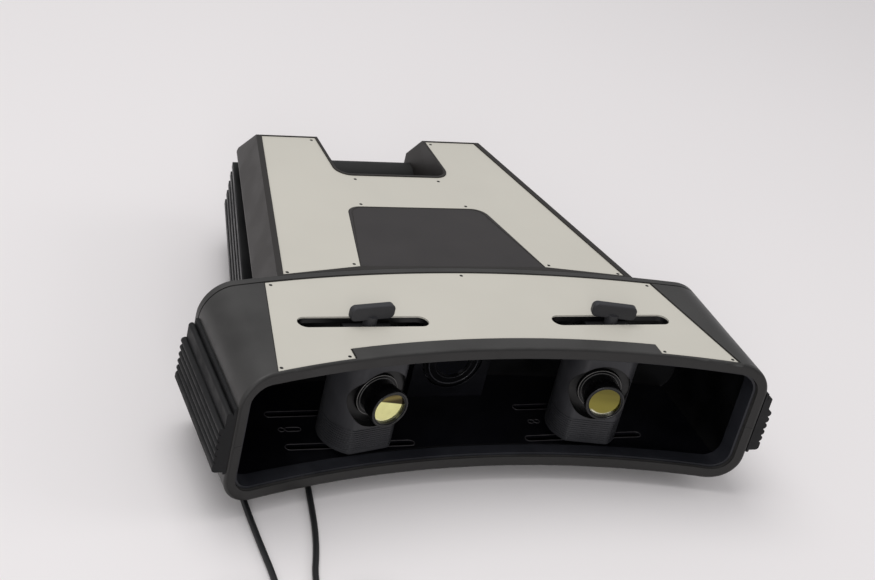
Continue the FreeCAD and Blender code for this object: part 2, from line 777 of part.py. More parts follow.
def make_body():
    block, lower = body_block(0, casing_top_height, body_waist_height, lid_bottom_height, 0)
    lid = block.fuse(lower).common(side_profile(0, hood_bottom_height, casing_top_height))
    lid = lid.common(body_tail()).cut(notch_tool(0))
    inner_block, inner_lower = body_block(casing_wall, roof_under, body_waist_height,
                                          lid_bottom_height - overrun, 0)
    hollow = inner_block.fuse(inner_lower)
    hollow = hollow.common(side_profile(casing_wall, case_floor, roof_under)).cut(notch_tool(casing_wall))
    lid = lid.cut(hollow)
    recess_top = casing_top_height + overrun
    lid = lid.cut(body_panel_plan(seat_gap, panel_seat, recess_top))
    lid = lid.cut(centre_plan(seat_gap, panel_seat, recess_top))
    save("body_upper_case", lid)

    wall_inset = fin_depth + fin_backing + seat_gap
    _, outer = body_block(0, casing_top_height, lid_bottom_height, hood_bottom_height, wall_inset)
    _, inner = body_block(casing_wall, casing_top_height, lid_bottom_height + overrun, case_floor,
                          wall_inset)
    tub = outer.common(side_profile(0, hood_bottom_height, casing_top_height))
    tub = tub.common(body_tail()).cut(notch_tool(0))
    hollow = inner.common(side_profile(casing_wall, case_floor, casing_top_height))
    hollow = hollow.cut(notch_tool(casing_wall))
    tub = tub.cut(hollow)
    window_low = rear_panel_low_height + rear_window_margin
    window_high = rear_panel_high_height - rear_window_margin
    for side in sides.values():
        edges = sorted((side * (rear_panel_inner_half + rear_window_margin),
                        side * (rear_panel_outer_half - rear_window_margin)))
        tub = tub.cut(box(edges[0], edges[1], rear_inner - casing_wall, rear_place + overrun,
                          window_low, window_high))
    tub = tub.cut(rod(insert_outer_radius + seat_gap, Vector(0, base_plate_middle, 0),
                      Vector(0, base_plate_middle, case_floor + overrun)))
    for rail in board_rails():
        tub = tub.fuse(rail)
    save("body_lower_case", tub.removeSplitter())

    panel = body_panel_plan(0, panel_seat, panel_top)
    panel = panel.cut(centre_plan(2 * seat_gap, panel_seat - overrun, recess_top))
    save("body_top_panel", cut_all(panel, [screw_seat(place, panel_top) for place in body_screw_places()]))
    save("centre_panel", centre_plan(0, panel_seat, panel_top))


def make_fins():
    wall_inset = fin_depth + fin_backing
    rear = rear_place - fin_rear_gap
    outer_front = rear_arc(top_half(0)) + fin_front_gap
    length = rear - outer_front
    sweep = Vector(body_top_slope_share * length, -length, 0)
    slant = Vector(body_top_slope_share * length, -length, -fin_drop)
    low = body_rear_low_radius + hood_bottom_height
    for name, side in sides.items():
        def place(x, z):
            return Vector(side * x, rear, z)

        def turned(vector):
            return Vector(side * vector.x, vector.y, vector.z)
        tip = top_half(rear) + body_chamfer_width - seat_gap
        root = tip - wall_inset
        bare = root + fin_backing
        top = lid_bottom_height - seat_gap
        backing = outline_face([place(root, top), place(bare, top), place(bare, low), place(root, low)])
        panel = backing.extrude(turned(sweep))
        front_low = hood_bottom_height + casing_wall
        skirt = outline_face([place(root, low), Vector(side * (root + sweep.x), rear - length, low),
                              Vector(side * (root + sweep.x), rear - length, front_low),
                              Vector(side * (root + sweep.x / 8), rear - length / 8, front_low)])
        panel = panel.fuse(skirt.extrude(Vector(side * fin_backing, 0, 0)))
        for index in range(fin_count):
            high = fin_top_height - index * fin_pitch + fin_thickness / 2
            edge = tip + fin_proud + index * fin_step
            section = outline_face([place(bare - fin_backing / 2, high), place(edge, high),
                                    place(edge, high - fin_thickness),
                                    place(bare - fin_backing / 2, high - fin_thickness)])
            panel = panel.fuse(section.extrude(turned(slant)))
        save("side_fins_" + name, panel.removeSplitter())


def make_handle():
    place = rear_place - handle_radius
    bar = rod(handle_radius, Vector(-notch_half_width, place, handle_height),
              Vector(notch_half_width, place, handle_height))
    save("carry_handle", bar)


# Underside.
def make_base():
    low = hood_bottom_height - base_plate_thickness
    half = base_plate_half_width
    plate = box(-half, half, base_plate_middle - base_plate_length / 2,
                base_plate_middle + base_plate_length / 2, low, hood_bottom_height)
    plate = round_uprights(plate, base_plate_corner)
    centre = Vector(0, base_plate_middle, 0)
    plate = plate.cut(rod(insert_outer_radius + seat_gap, centre, centre + Vector(0, 0, casing_top_height)))
    plate = plate.cut(rod(insert_flange_radius + seat_gap, centre,
                          centre + Vector(0, 0, low + insert_flange_thickness)))
    reach_x = half - base_screw_inset
    reach_y = base_plate_length / 2 - base_screw_inset
    places = [(side * reach_x, base_plate_middle + end * reach_y) for side in (-1, 1) for end in (-1, 1)]
    screws = []
    for x, y in places:
        head = rod(base_screw_radius, Vector(x, y, low), Vector(x, y, low + base_screw_height))
        shank = rod(base_screw_shank, Vector(x, y, low), Vector(x, y, hood_bottom_height))
        socket = rod(base_screw_shank, Vector(x, y, low - overrun),
                     Vector(x, y, low + base_screw_height / 2))
        screws.append(head.fuse(shank).cut(socket))
        hole = rod(base_screw_radius + seat_gap, Vector(x, y, 0), Vector(x, y, low + base_screw_height))
        bore = rod(base_screw_shank + seat_gap, Vector(x, y, 0), Vector(x, y, casing_top_height))
        plate = plate.cut(hole).cut(bore)
    save("base_plate", plate)
    save("base_screws", Part.makeCompound(screws))
    top = centre + Vector(0, 0, low + insert_depth)
    base = centre + Vector(0, 0, low)
    insert = rod(insert_outer_radius, base, top)
    insert = insert.fuse(rod(insert_flange_radius, base, base + Vector(0, 0, insert_flange_thickness)))
    insert = insert.cut(rod(insert_wall_radius, centre, top + Vector(0, 0, overrun)))
    save("tripod_insert", insert)
    feet = []
    for side in sides.values():
        for x, y in ((side * rear_foot_reach, rear_foot_place),
                     (side * front_foot_reach, front_foot_place)):
            foot = rod(foot_radius, Vector(x, y, 0), Vector(x, y, hood_bottom_height))
            rim = [edge for edge in foot.Edges if edge.BoundBox.ZMax < foot_corner]
            feet.append(foot.makeFillet(foot_corner, rim))
    save("rubber_feet", Part.makeCompound(feet))
    top_screws = [screw(place, panel_top) for place in hood_screw_places() + body_screw_places()]
    save("panel_screws", Part.makeCompound(top_screws))


# Rear panels, fittings, fan.
def make_rear_panels():
    back, front = rear_inner, rear_inner - rear_panel_thickness
    left = box(-rear_panel_outer_half, -rear_panel_inner_half, front, back,
               rear_panel_low_height, rear_panel_high_height)
    inlet = Vector(-inlet_place, front - overrun, inlet_height)
    left = left.cut(rod(inlet_radius + seat_gap, inlet,
                        inlet + Vector(0, 2 * overrun + rear_panel_thickness, 0)))
    half_w, half_h = socket_width / 2 + seat_gap, socket_height / 2 + seat_gap
    left = left.cut(box(-socket_place - half_w, -socket_place + half_w, front - overrun, back + overrun,
                        inlet_height - half_h, inlet_height + half_h))
    gap_w, gap_h = rocker_half_length + rocker_gap, rocker_half_height + 2 * rocker_gap
    housing = box(-rear_panel_middle - gap_w - switch_wall, -rear_panel_middle + gap_w + switch_wall,
                  back - switch_depth, front, switch_height - gap_h - switch_wall,
                  switch_height + gap_h + switch_wall)
    left = left.fuse(housing)
    left = left.cut(box(-rear_panel_middle - gap_w, -rear_panel_middle + gap_w,
                        back - switch_depth + switch_wall, back + overrun,
                        switch_height - gap_h, switch_height + gap_h))
    axis_place = back - rocker_axis_inset
    pin_reach = rocker_half_length + rocker_pin_length
    left = left.cut(rod(rocker_pin_radius + rocker_play,
                        Vector(-rear_panel_middle - pin_reach, axis_place, switch_height),
                        Vector(-rear_panel_middle + pin_reach, axis_place, switch_height)))
    save("rear_panel_left", left.removeSplitter())

    # Rocker: a bar whose face is two planes that lean to each side of its axis.
    top = switch_height + rocker_half_height
    low = switch_height - rocker_half_height
    face = back + rocker_rise
    lean = rocker_half_height * math.tan(math.radians(rocker_tilt))
    inner = axis_place - rocker_rear_depth
    profile = [Vector(0, inner + lean, low), Vector(0, inner - lean, switch_height),
               Vector(0, inner + lean, top),
               Vector(0, face + lean, top), Vector(0, face, switch_height), Vector(0, face + lean, low)]
    rocker = outline_face(profile).extrude(Vector(2 * rocker_half_length, 0, 0))
    rocker.translate(Vector(-rear_panel_middle - rocker_half_length, 0, 0))
    pin_half = pin_reach - 2 * seat_gap
    rocker = rocker.fuse(rod(rocker_pin_radius,
                             Vector(-rear_panel_middle - pin_half, axis_place, switch_height),
                             Vector(-rear_panel_middle + pin_half, axis_place, switch_height)))
    rocker.rotate(Vector(-rear_panel_middle, axis_place, switch_height), Vector(1, 0, 0), rocker_tilt)
    save("power_rocker", rocker)

    # Barrel inlet with its centre pin, and the square socket with its tongue.
    mouth = back + plug_face_gap
    inlet = Vector(-inlet_place, mouth, inlet_height)
    depth = Vector(0, inlet_depth, 0)
    shell = rod(inlet_radius, Vector(-inlet_place, front, inlet_height), inlet)
    body = box(-inlet_place - inlet_block / 2, -inlet_place + inlet_block / 2, front - inlet_depth, front,
               inlet_height - inlet_block / 2, inlet_height + inlet_block / 2)
    body = body.fuse(shell).cut(rod(inlet_bore_radius, inlet - depth, inlet + depth))
    body = body.fuse(rod(inlet_pin_radius, inlet - depth - Vector(0, rear_panel_thickness, 0),
                         inlet - depth / 4))
    save("power_inlet", body)
    half_w, half_h = socket_width / 2, socket_height / 2
    socket = box(-socket_place - half_w, -socket_place + half_w, mouth - socket_depth, mouth,
                 inlet_height - half_h, inlet_height + half_h)
    hollow = box(-socket_place - half_w + socket_wall, -socket_place + half_w - socket_wall,
                 mouth - socket_depth + socket_wall, mouth + overrun,
                 inlet_height - half_h + socket_wall, inlet_height + half_h - socket_wall)
    tongue = box(-socket_place - half_w / 2, -socket_place + half_w / 2, mouth - socket_depth,
                 mouth - 2 * socket_wall, inlet_height - socket_tongue_height / 2,
                 inlet_height + socket_tongue_height / 2)
    save("data_socket", socket.cut(hollow).fuse(tongue).removeSplitter())

    right = box(rear_panel_inner_half, rear_panel_outer_half, front, back,
                rear_panel_low_height, rear_panel_high_height)
    for index in range(grille_bar_count):
        middle = fan_height + (index - (grille_bar_count - 1) / 2) * grille_bar_pitch
        right = right.cut(box(rear_panel_middle - grille_half_length, rear_panel_middle + grille_half_length,
                              front - overrun, back + overrun,
                              middle - grille_bar_gap / 2, middle + grille_bar_gap / 2))
    save("rear_panel_right", right)


def make_fan():
    back = rear_inner - rear_panel_thickness
    front = back - fan_depth
    centre = Vector(rear_panel_middle, 0, fan_height)
    frame = box(rear_panel_middle - fan_half_size, rear_panel_middle + fan_half_size, front, back,
                fan_height - fan_half_size, fan_height + fan_half_size)
    frame = frame.cut(rod(fan_bore_radius, centre + Vector(0, front - overrun, 0),
                          centre + Vector(0, back + overrun, 0)))
    motor_end = front + fan_motor_thickness
    frame = frame.fuse(rod(fan_hub_radius, centre + Vector(0, front, 0), centre + Vector(0, motor_end, 0)))
    for index in range(4):
        strut = box(rear_panel_middle - fan_strut_width / 2, rear_panel_middle + fan_strut_width / 2,
                    front, motor_end, fan_height, fan_height + fan_bore_radius + seat_gap)
        strut.rotate(centre, Vector(0, 1, 0), (index + 1 / 2) * 360 / 4)
        frame = frame.fuse(strut)
    frame = frame.fuse(rod(fan_post_radius, centre + Vector(0, front, 0),
                           centre + Vector(0, back - fan_motor_thickness, 0)))
    save("fan_frame", frame.removeSplitter())
    start, end = motor_end + fan_hub_gap, back - fan_hub_gap
    rotor = rod(fan_hub_radius, centre + Vector(0, start, 0), centre + Vector(0, end, 0))
    for index in range(fan_blade_count):
        blade = box(0, fan_blade_radius, -fan_blade_thickness / 2, fan_blade_thickness / 2,
                    -fan_depth / 4, fan_depth / 4)
        blade.rotate(Vector(0, 0, 0), Vector(1, 0, 0), 90 + fan_blade_lean)
        blade.rotate(Vector(0, 0, 0), Vector(0, 1, 0), index * 360 / fan_blade_count)
        blade.translate(centre + Vector(0, (start + end) / 2, 0))
        rotor = rotor.fuse(blade)
    limit = rod(fan_blade_radius, centre + Vector(0, start, 0), centre + Vector(0, end, 0))
    rotor = rotor.common(limit)
    bore_end = back - fan_motor_thickness + fan_hub_gap
    rotor = rotor.cut(rod(fan_post_radius + fan_post_play, centre + Vector(0, front, 0),
                          centre + Vector(0, bore_end, 0)))
    save("fan_rotor", rotor.removeSplitter())


# Boards on their rails.
def board_rails():
    rails = []
    for side in sides.values():
        inner, outer = side * (main_board_half_width - board_rail_width), side * main_board_half_width
        low, high = min(inner, outer), max(inner, outer)
        rails.append(box(low, high, main_board_front, main_board_front + main_board_depth,
                         hood_bottom_height + casing_wall / 2, board_height))
    for x in (-power_board_left, -power_board_right - board_rail_width):
        rails.append(box(x, x + board_rail_width, power_board_front, power_board_front + power_board_depth,
                         hood_bottom_height + casing_wall / 2, board_height))
    return rails


def make_boards():
    top = board_height + board_thickness
    board = box(-main_board_half_width, main_board_half_width, main_board_front,
                main_board_front + main_board_depth, board_height, top)
    middle = main_board_front + main_board_depth / 2
    for x in (-chip_spread, 0, chip_spread):
        board = board.fuse(box(x - chip_size / 2, x + chip_size / 2, middle - chip_size / 2,
                               middle + chip_size / 2, board_height, top + chip_height))
    save("main_board", board)
    board = box(-power_board_left, -power_board_right, power_board_front,
                power_board_front + power_board_depth, board_height, top)
    x = -(power_board_left + power_board_right) / 2
    for step in (-1, 1):
        base = Vector(x + step * power_part_spread, power_board_front + power_part_spread, board_height)
        board = board.fuse(rod(power_part_radius, base, base + Vector(0, 0, power_part_height)))
    y = power_board_front + power_board_depth - coil_block_size
    board = board.fuse(box(x - coil_block_size / 2, x + coil_block_size / 2, y - coil_block_size / 2,
                           y + coil_block_size / 2, board_height, top + coil_block_height))
    save("power_board", board)


# Projector: shroud, body on a foot, barrel with a focusing ring, front glass, heat sink.
def make_projector():
    front = shroud_front
    half = shroud_half_width
    low, high = opening_low_height, roof_under - shroud_top_gap
    band = hood_band(0, -back_wall - seat_gap)
    shroud = box(-half, half, front, rear_arc(0), low, high).common(band)
    hollow = box(-half + shroud_wall, half - shroud_wall, front + shroud_wall, rear_arc(0) + overrun,
                 low + shroud_wall, high - shroud_wall)
    axis = Vector(0, 0, projector_height)
    window = rod(projector_ring_radius + projector_ring_gap, axis + Vector(0, front - overrun, 0),
                 axis + Vector(0, front + overrun, 0))
    shroud = shroud.cut(hollow).cut(window)
    save("projector_shroud", shroud)
    body_front_face = front + shroud_wall + projector_front_gap
    body_end = body_front_face + projector_length
    body = box(-projector_half_width, projector_half_width, body_front_face, body_end,
               projector_low_height, projector_high_height)
    foot_start = body_end - projector_foot_length
    body = body.fuse(box(-projector_foot_half, projector_foot_half, foot_start, body_end, case_floor,
                         projector_low_height))
    body = body.cut(rod(insert_outer_radius + base_screw_height, Vector(0, base_plate_middle, 0),
                        Vector(0, base_plate_middle, projector_low_height)))
    save("projector_body", body.removeSplitter())

    face = axis + Vector(0, body_front_face, 0)
    ahead = Vector(0, -1, 0)
    tip = face + ahead * projector_barrel_length
    barrel = rod(projector_barrel_radius, face, tip)
    flange_width = (projector_barrel_length - projector_ring_width - projector_lip_width
                    - 2 * projector_flange_gap)
    barrel = barrel.fuse(rod(projector_lip_radius, face, face + ahead * flange_width))
    barrel = barrel.fuse(rod(projector_lip_radius, tip - ahead * projector_lip_width, tip))
    barrel = barrel.cut(rod(projector_bore_radius, face - ahead * overrun, tip + ahead * overrun))
    barrel = barrel.cut(rod(projector_glass_radius + filter_play, tip - ahead * projector_glass_thickness,
                            tip + ahead * overrun))
    save("projector_lens_barrel", barrel)
    glass_back = tip - ahead * projector_glass_thickness
    save("projector_glass", rod(projector_glass_radius, glass_back,
                                glass_back + ahead * (projector_glass_thickness / 2)))
    start = face + ahead * (flange_width + projector_flange_gap)
    end = start + ahead * projector_ring_width
    turning = rod(projector_ring_radius, start, end)
    turning = turning.cut(rod(projector_barrel_radius + projector_ring_play, start - ahead, end + ahead))
    for index in range(knurl_count):
        angle = 2 * math.pi * index / knurl_count
        offset = Vector(math.cos(angle), 0, math.sin(angle)) * (projector_ring_radius + knurl_depth / 3)
        turning = turning.cut(rod(knurl_depth, start + offset - ahead, end + offset + ahead))
    save("projector_focus_ring", turning)

    sink_front = body_end
    half = projector_half_width
    sink = box(-half, half, sink_front, sink_front + sink_base, projector_low_height, projector_high_height)
    pitch = (2 * half - sink_fin_thickness) / (sink_fin_count - 1)
    for index in range(sink_fin_count):
        x = -half + index * pitch
        sink = sink.fuse(box(x, x + sink_fin_thickness, sink_front, sink_front + sink_depth,
                             projector_low_height, projector_high_height))
    save("projector_heat_sink", sink.removeSplitter())


# Camera units. Each is drawn with its lens looking along -Y, then turned and moved to its place.
def placed(shape, stem, side):
    angle = -side * toe_in
    shape = shape.copy()
    shape.rotate(Vector(0, 0, 0), Vector(0, 0, 1), angle)
    shape.translate(Vector(stem - side * pod_inboard_shift, pod_place, 0))
    return shape


def lens_point(distance):
    return Vector(0, -distance, lens_axis_height)


def pod_block(inset, low, high):
    reach = pod_radius + overrun
    block = rod(pod_radius - inset, Vector(0, 0, low), Vector(0, 0, high))
    block = block.common(box(-reach, reach, -pod_flat_distance + inset, reach, low, high))
    return round_uprights(block, pod_flat_corner)


def pod_shape():
    base = Vector(0, 0, pod_low_height)
    top = Vector(0, 0, pod_high_height)
    pod = pod_block(0, pod_low_height, pod_high_height)
    reach = pod_radius + overrun
    pod = pod.cut(rod(pod_scoop_radius, lens_point(pod_face_distance), lens_point(reach)))
    inner_radius = pod_radius - pod_wall
    lift = Vector(0, 0, pod_wall)
    hollow = rod(inner_radius, base + lift, top - lift)
    wall = box(-reach, reach, -reach, -pod_face_distance + pod_wall, pod_low_height, pod_high_height)
    hollow = hollow.cut(wall)
    shelf_low = lens_axis_height + camera_half_width
    shelf = box(-reach, reach, -reach, reach, shelf_low, shelf_low + pod_shelf_thickness)
    pod = pod.cut(hollow.cut(shelf))
    wall_back = pod_face_distance - pod_wall
    hole = rod(barrel_base_radius + face_hole_gap, lens_point(wall_back), lens_point(reach))
    pod = pod.cut(hole)
    for index in range(pod_groove_count):
        height = pod_low_height + pod_groove_start + index * pod_groove_pitch
        band = box(-reach, reach, -reach, reach, height, height + pod_groove_height)
        core = pod_block(pod_groove_depth, height - overrun, height + overrun)
        pod = pod.cut(band.cut(core))
    return pod


def barrel_shape():
    back = lens_point(camera_front_distance)
    front = lens_point(barrel_front_distance)
    ring_end = barrel_front_distance - barrel_front_width
    ring_start = ring_end - focus_ring_width - 2 * focus_ring_gap
    barrel = rod(barrel_radius, back, front)
    barrel = barrel.fuse(rod(barrel_flange_radius, back, lens_point(ring_start)))
    base_start = pod_face_distance - pod_wall + barrel_base_gap
    base_end = base_start + barrel_base_width
    barrel = barrel.fuse(rod(barrel_base_radius, lens_point(base_start), lens_point(base_end)))
    barrel = barrel.fuse(rod(barrel_front_radius, lens_point(ring_end), front))
    barrel = barrel.cut(rod(barrel_bore_radius, lens_point(0), lens_point(barrel_front_distance + overrun)))
    seat = barrel_front_distance - filter_inset - filter_thickness
    return barrel.cut(rod(filter_radius + filter_play, lens_point(seat),
                          lens_point(barrel_front_distance + overrun)))


def focus_shape():
    ring_end = barrel_front_distance - barrel_front_width - focus_ring_gap
    start, end = ring_end - focus_ring_width, ring_end
    turning = ring(focus_ring_radius, barrel_radius + stem_play, lens_point(start), lens_point(end))
    for index in range(knurl_count):
        angle = 2 * math.pi * index / knurl_count
        offset = Vector(math.cos(angle), 0, math.sin(angle)) * (focus_ring_radius + knurl_depth / 3)
        groove_start = lens_point(start + focus_ring_gap) + offset
        groove_end = lens_point(end - focus_ring_gap) + offset
        turning = turning.cut(rod(knurl_depth, groove_start, groove_end))
    return turning


def camera_shape():
    back = -camera_front_distance + camera_length
    body = box(-camera_half_width, camera_half_width, -camera_front_distance, back,
               lens_axis_height - camera_half_width, lens_axis_height + camera_half_width)
    port = lens_point(-back)
    return body.fuse(rod(camera_port_radius, port, port - Vector(0, camera_port_depth, 0))).removeSplitter()


def carriage_shape(stem):
    plate = box(stem - carriage_half_length, stem + carriage_half_length, slot_place - carriage_half_depth,
                slot_place + carriage_half_depth, pod_high_height, roof_under - seat_gap)
    plate = round_uprights(plate, carriage_half_depth / 3)
    bore = rod(stem_radius + stem_play, Vector(stem, slot_place, 0),
               Vector(stem, slot_place, casing_top_height))
    return plate.cut(bore)


def clamp_shape(stem, turn):
    low = panel_top + clamp_rise
    half = clamp_length / 2
    thick = clamp_thickness / 2
    plate = box(-half, half, -thick, thick, low, low + clamp_height)
    upright = [edge for edge in plate.Edges if abs(edge.tangentAt(edge.FirstParameter).y) > 1 / 2]
    plate = plate.makeFillet(clamp_corner, upright)
    rim = [edge for edge in plate.Edges if abs(abs(edge.CenterOfMass.y) - thick) < seat_gap]
    plate = plate.makeFillet(clamp_edge, rim)
    plate.rotate(Vector(0, 0, 0), Vector(0, 0, 1), turn)
    plate.translate(Vector(stem, slot_place, 0))
    stem_rod = rod(stem_radius, Vector(stem, slot_place, pod_high_height + seat_gap),
                   Vector(stem, slot_place, low + stem_sink))
    return plate.fuse(stem_rod).removeSplitter()


def make_cameras():
    stems = {"left": left_stem_place, "right": right_stem_place}
    turns = {"left": left_clamp_turn, "right": right_clamp_turn}
    pod, barrel, focus, camera = pod_shape(), barrel_shape(), focus_shape(), camera_shape()
    seat = barrel_front_distance - filter_inset - filter_thickness
    glass = rod(filter_radius, lens_point(seat), lens_point(seat + filter_thickness))
    for name, side in sides.items():
        stem = stems[name]
        save("camera_pod_" + name, placed(pod, stem, side))
        save("camera_body_" + name, placed(camera, stem, side))
        save("lens_barrel_" + name, placed(barrel, stem, side))
        save("focus_ring_" + name, placed(focus, stem, side))
        save("filter_glass_" + name, placed(glass, stem, side))
        save("camera_carriage_" + name, carriage_shape(stem))
        save("clamp_handle_" + name, clamp_shape(stem, turns[name]))


# Leads. A route is straight runs joined by tangent arcs as large as the runs allow.
def route_path(points):
    corners = [Vector(*point) for point in points]
    edges, radii = [], []
    start = corners[0]
    for before, corner, after in zip(corners, corners[1:], corners[2:]):
        inward, outward = corner - before, after - corner
        turn = inward.getAngle(outward)
        reach = route_reach_share * min(inward.Length, outward.Length)
        radii.append(round(reach / math.tan(turn / 2), 1))
        inward.normalize()
        outward.normalize()
        first, last = corner - inward * reach, corner + outward * reach
        bisector = outward - inward
        bisector.normalize()
        radius = reach / math.tan(turn / 2)
        middle = corner + bisector * (radius / math.cos(turn / 2) - radius)
        edges.append(Part.LineSegment(start, first).toShape())
        edges.append(Part.Arc(first, middle, last).toShape())
        start = last
    edges.append(Part.LineSegment(start, corners[-1]).toShape())
    heading = corners[-1] - corners[-2]
    heading.normalize()
    return Part.Wire(edges), radii, heading


def make_route(name, points):
    path, radii, heading = route_path(points)
    start = path.Edges[0]
    first = start.valueAt(start.FirstParameter)
    profile = Part.Wire([Part.makeCircle(lead_diameter / 2, first, start.tangentAt(start.FirstParameter))])
    tube = path.makePipeShell([profile], True, False)
    section = math.pi * lead_diameter ** 2 / 4
    print(name, "radii", radii, "volume share", round(tube.Volume / (section * path.Length), 4))
    save(name, tube)
    return path.Length, heading


# Neat coil: half turns spiral in, climb one layer, and spiral out on top.
def coil_tracks(outer_radius, turn_side):
    pitch = lead_diameter + coil_turn_gap
    steps = [-index for index in range(coil_inward_halves)] + [-coil_inward_halves]
    steps += [index - coil_inward_halves for index in range(1, coil_inward_halves + 2)]
    radii = [outer_radius + step * pitch / 2 for step in steps]
    edges, place, direction = [], Vector(0, -lead_diameter, 0), -1
    edges.append(Part.LineSegment(Vector(0, 0, 0), place).toShape())
    sideways = turn_side
    for index, radius in enumerate(radii):
        rise = pitch if index == coil_inward_halves else 0
        across = Vector(sideways * 2 * radius, 0, rise)
        end = place + across
        bulge = Vector(0, direction, 0) * (across.Length / 2)
        edges.append(Part.Arc(place, place + across / 2 + bulge, end).toShape())
        place, direction, sideways = end, -direction, -sideways
    last = place + Vector(0, direction, 0) * lead_diameter
    edges.append(Part.LineSegment(place, last).toShape())
    return edges, radii, last, direction


def coil_radius(length):
    halves = 2 * coil_inward_halves + 2
    pitch = lead_diameter + coil_turn_gap
    steps = coil_inward_halves * (coil_inward_halves - 1) / 2 + coil_inward_halves
    steps += sum(range(coil_inward_halves)) - 1
    return ((length - 2 * lead_diameter) / math.pi + steps * pitch / 2) / halves


def least_gap(wire):
    points = wire.discretize(Distance=lead_diameter / 2)
    least = lead_length
    walked = [0]
    for before, after in zip(points, points[1:]):
        walked.append(walked[-1] + (after - before).Length)
    for index, point in enumerate(points):
        for other in range(index + 1, len(points)):
            if walked[other] - walked[index] > 4 * lead_diameter:
                least = min(least, (points[other] - point).Length)
    return least - lead_diameter


def to_floor_frame(shape, place, heading):
    angle = math.degrees(math.atan2(heading.y, heading.x)) + 90
    shape = shape.copy()
    shape.rotate(Vector(0, 0, 0), Vector(0, 0, 1), angle)
    shape.translate(place)
    return shape


def make_coil(name, place, heading, length, turn_side):
    edges, radii, last, direction = coil_tracks(coil_radius(length), turn_side)
    path = Part.Wire(edges)
    profile = Part.Wire([Part.makeCircle(lead_diameter / 2, Vector(0, 0, 0), Vector(0, -1, 0))])
    tube = path.makePipeShell([profile], True, False)
    section = math.pi * lead_diameter ** 2 / 4
    print(name, "radii", [round(radius, 1) for radius in radii], "length", round(path.Length, 1),
          "volume share", round(tube.Volume / (section * path.Length), 4),
          "least gap", round(least_gap(path), 3))
    save(name, to_floor_frame(tube, place, heading))
    return last, direction


# Angled connector at the scanner: head, mating tip along -Y, tapered relief downwards.
def angled_connector(point, tip):
    x, y, z = point
    head_low = z + relief_length
    back = rear_inner + 2 * plug_face_gap
    head = box(x - plug_head_half, x + plug_head_half, back, y + plug_head_half, head_low,
               head_low + plug_head_height)
    head = round_uprights(head, plug_head_corner)
    relief = Part.makeCone(lead_diameter / 2 + seat_gap, relief_radius, relief_length, Vector(x, y, z))
    return head.fuse(relief).fuse(tip)


def make_connectors():
    back = rear_inner + 2 * plug_face_gap
    x = power_route[0][0]
    tip_end = Vector(x, back - power_tip_length, inlet_height)
    tip = ring(power_tip_radius, power_tip_bore + seat_gap, Vector(x, back + seat_gap, inlet_height),
               tip_end)
    save("power_connector", angled_connector(power_route[0], tip))
    x = data_route[0][0]
    half_w, half_h = data_tip_width / 2, data_tip_height / 2
    tip = box(x - half_w, x + half_w, back - data_tip_length, back + seat_gap, inlet_height - half_h,
              inlet_height + half_h)
    core = box(x - half_w + socket_wall, x + half_w - socket_wall, back - data_tip_length - overrun, back,
               inlet_height - half_h + socket_wall, inlet_height + half_h - socket_wall)
    save("data_connector", angled_connector(data_route[0], tip.cut(core)))


def power_plug_shape():
    grip = rod(power_grip_radius, Vector(0, -plug_relief_length, 0),
               Vector(0, -plug_relief_length - power_grip_length, 0))
    relief = Part.makeCone(lead_diameter / 2 + seat_gap, relief_radius, plug_relief_length,
                           Vector(0, 0, 0), Vector(0, -1, 0))
    start = Vector(0, -plug_relief_length - power_grip_length, 0)
    tip = rod(power_tip_radius, start, start - Vector(0, power_tip_length, 0))
    bore = rod(power_tip_bore, start, start - Vector(0, power_tip_length + overrun, 0))
    return grip.fuse(relief).fuse(tip).cut(bore)


def data_plug_shape():
    start, end = -plug_relief_length, -plug_relief_length - data_grip_length
    half = data_grip_width / 2
    grip = box(-half, half, end, start, -data_grip_height / 2, data_grip_height / 2)
    grip = round_uprights(grip, plug_head_corner)
    relief = Part.makeCone(lead_diameter / 2 + seat_gap, relief_radius - socket_wall, plug_relief_length,
                           Vector(0, 0, 0), Vector(0, -1, 0))
    half, high = data_plug_tip_width / 2, data_plug_tip_height / 2
    tip = box(-half, half, end - data_plug_tip_length, end, -high, high)
    hollow = box(-half + socket_wall, half - socket_wall, end - data_plug_tip_length - overrun,
                 end - socket_wall, -high + socket_wall, socket_wall)
    return grip.fuse(relief).fuse(tip.cut(hollow))


def make_leads():
    routes = {"power": power_route, "data": data_route}
    plugs = {"power": power_plug_shape(), "data": data_plug_shape()}
    turn_sides = {"power": -1, "data": 1}
    for name, points in routes.items():
        run, heading = make_route(name + "_lead", points)
        place = Vector(*points[-1])
        rest = lead_length - run
        last, direction = make_coil(name + "_lead_coil", place, heading, rest, turn_sides[name])
        plug = plugs[name].copy()
        if direction > 0:
            plug.rotate(Vector(0, 0, 0), Vector(0, 0, 1), 180)
        plug.translate(last)
        save(name + "_plug", to_floor_frame(plug, place, heading))
        print(name, "route", round(run, 1), "coil", round(rest, 1))


make_hood()
make_liner()
make_floor_plate()
make_grips()
make_body()
make_fins()
make_handle()
make_base()
make_rear_panels()
make_fan()
make_boards()
make_projector()
make_cameras()
make_connectors()
make_leads()
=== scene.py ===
import bpy
import math
import numpy as np
from mathutils import Matrix, Vector


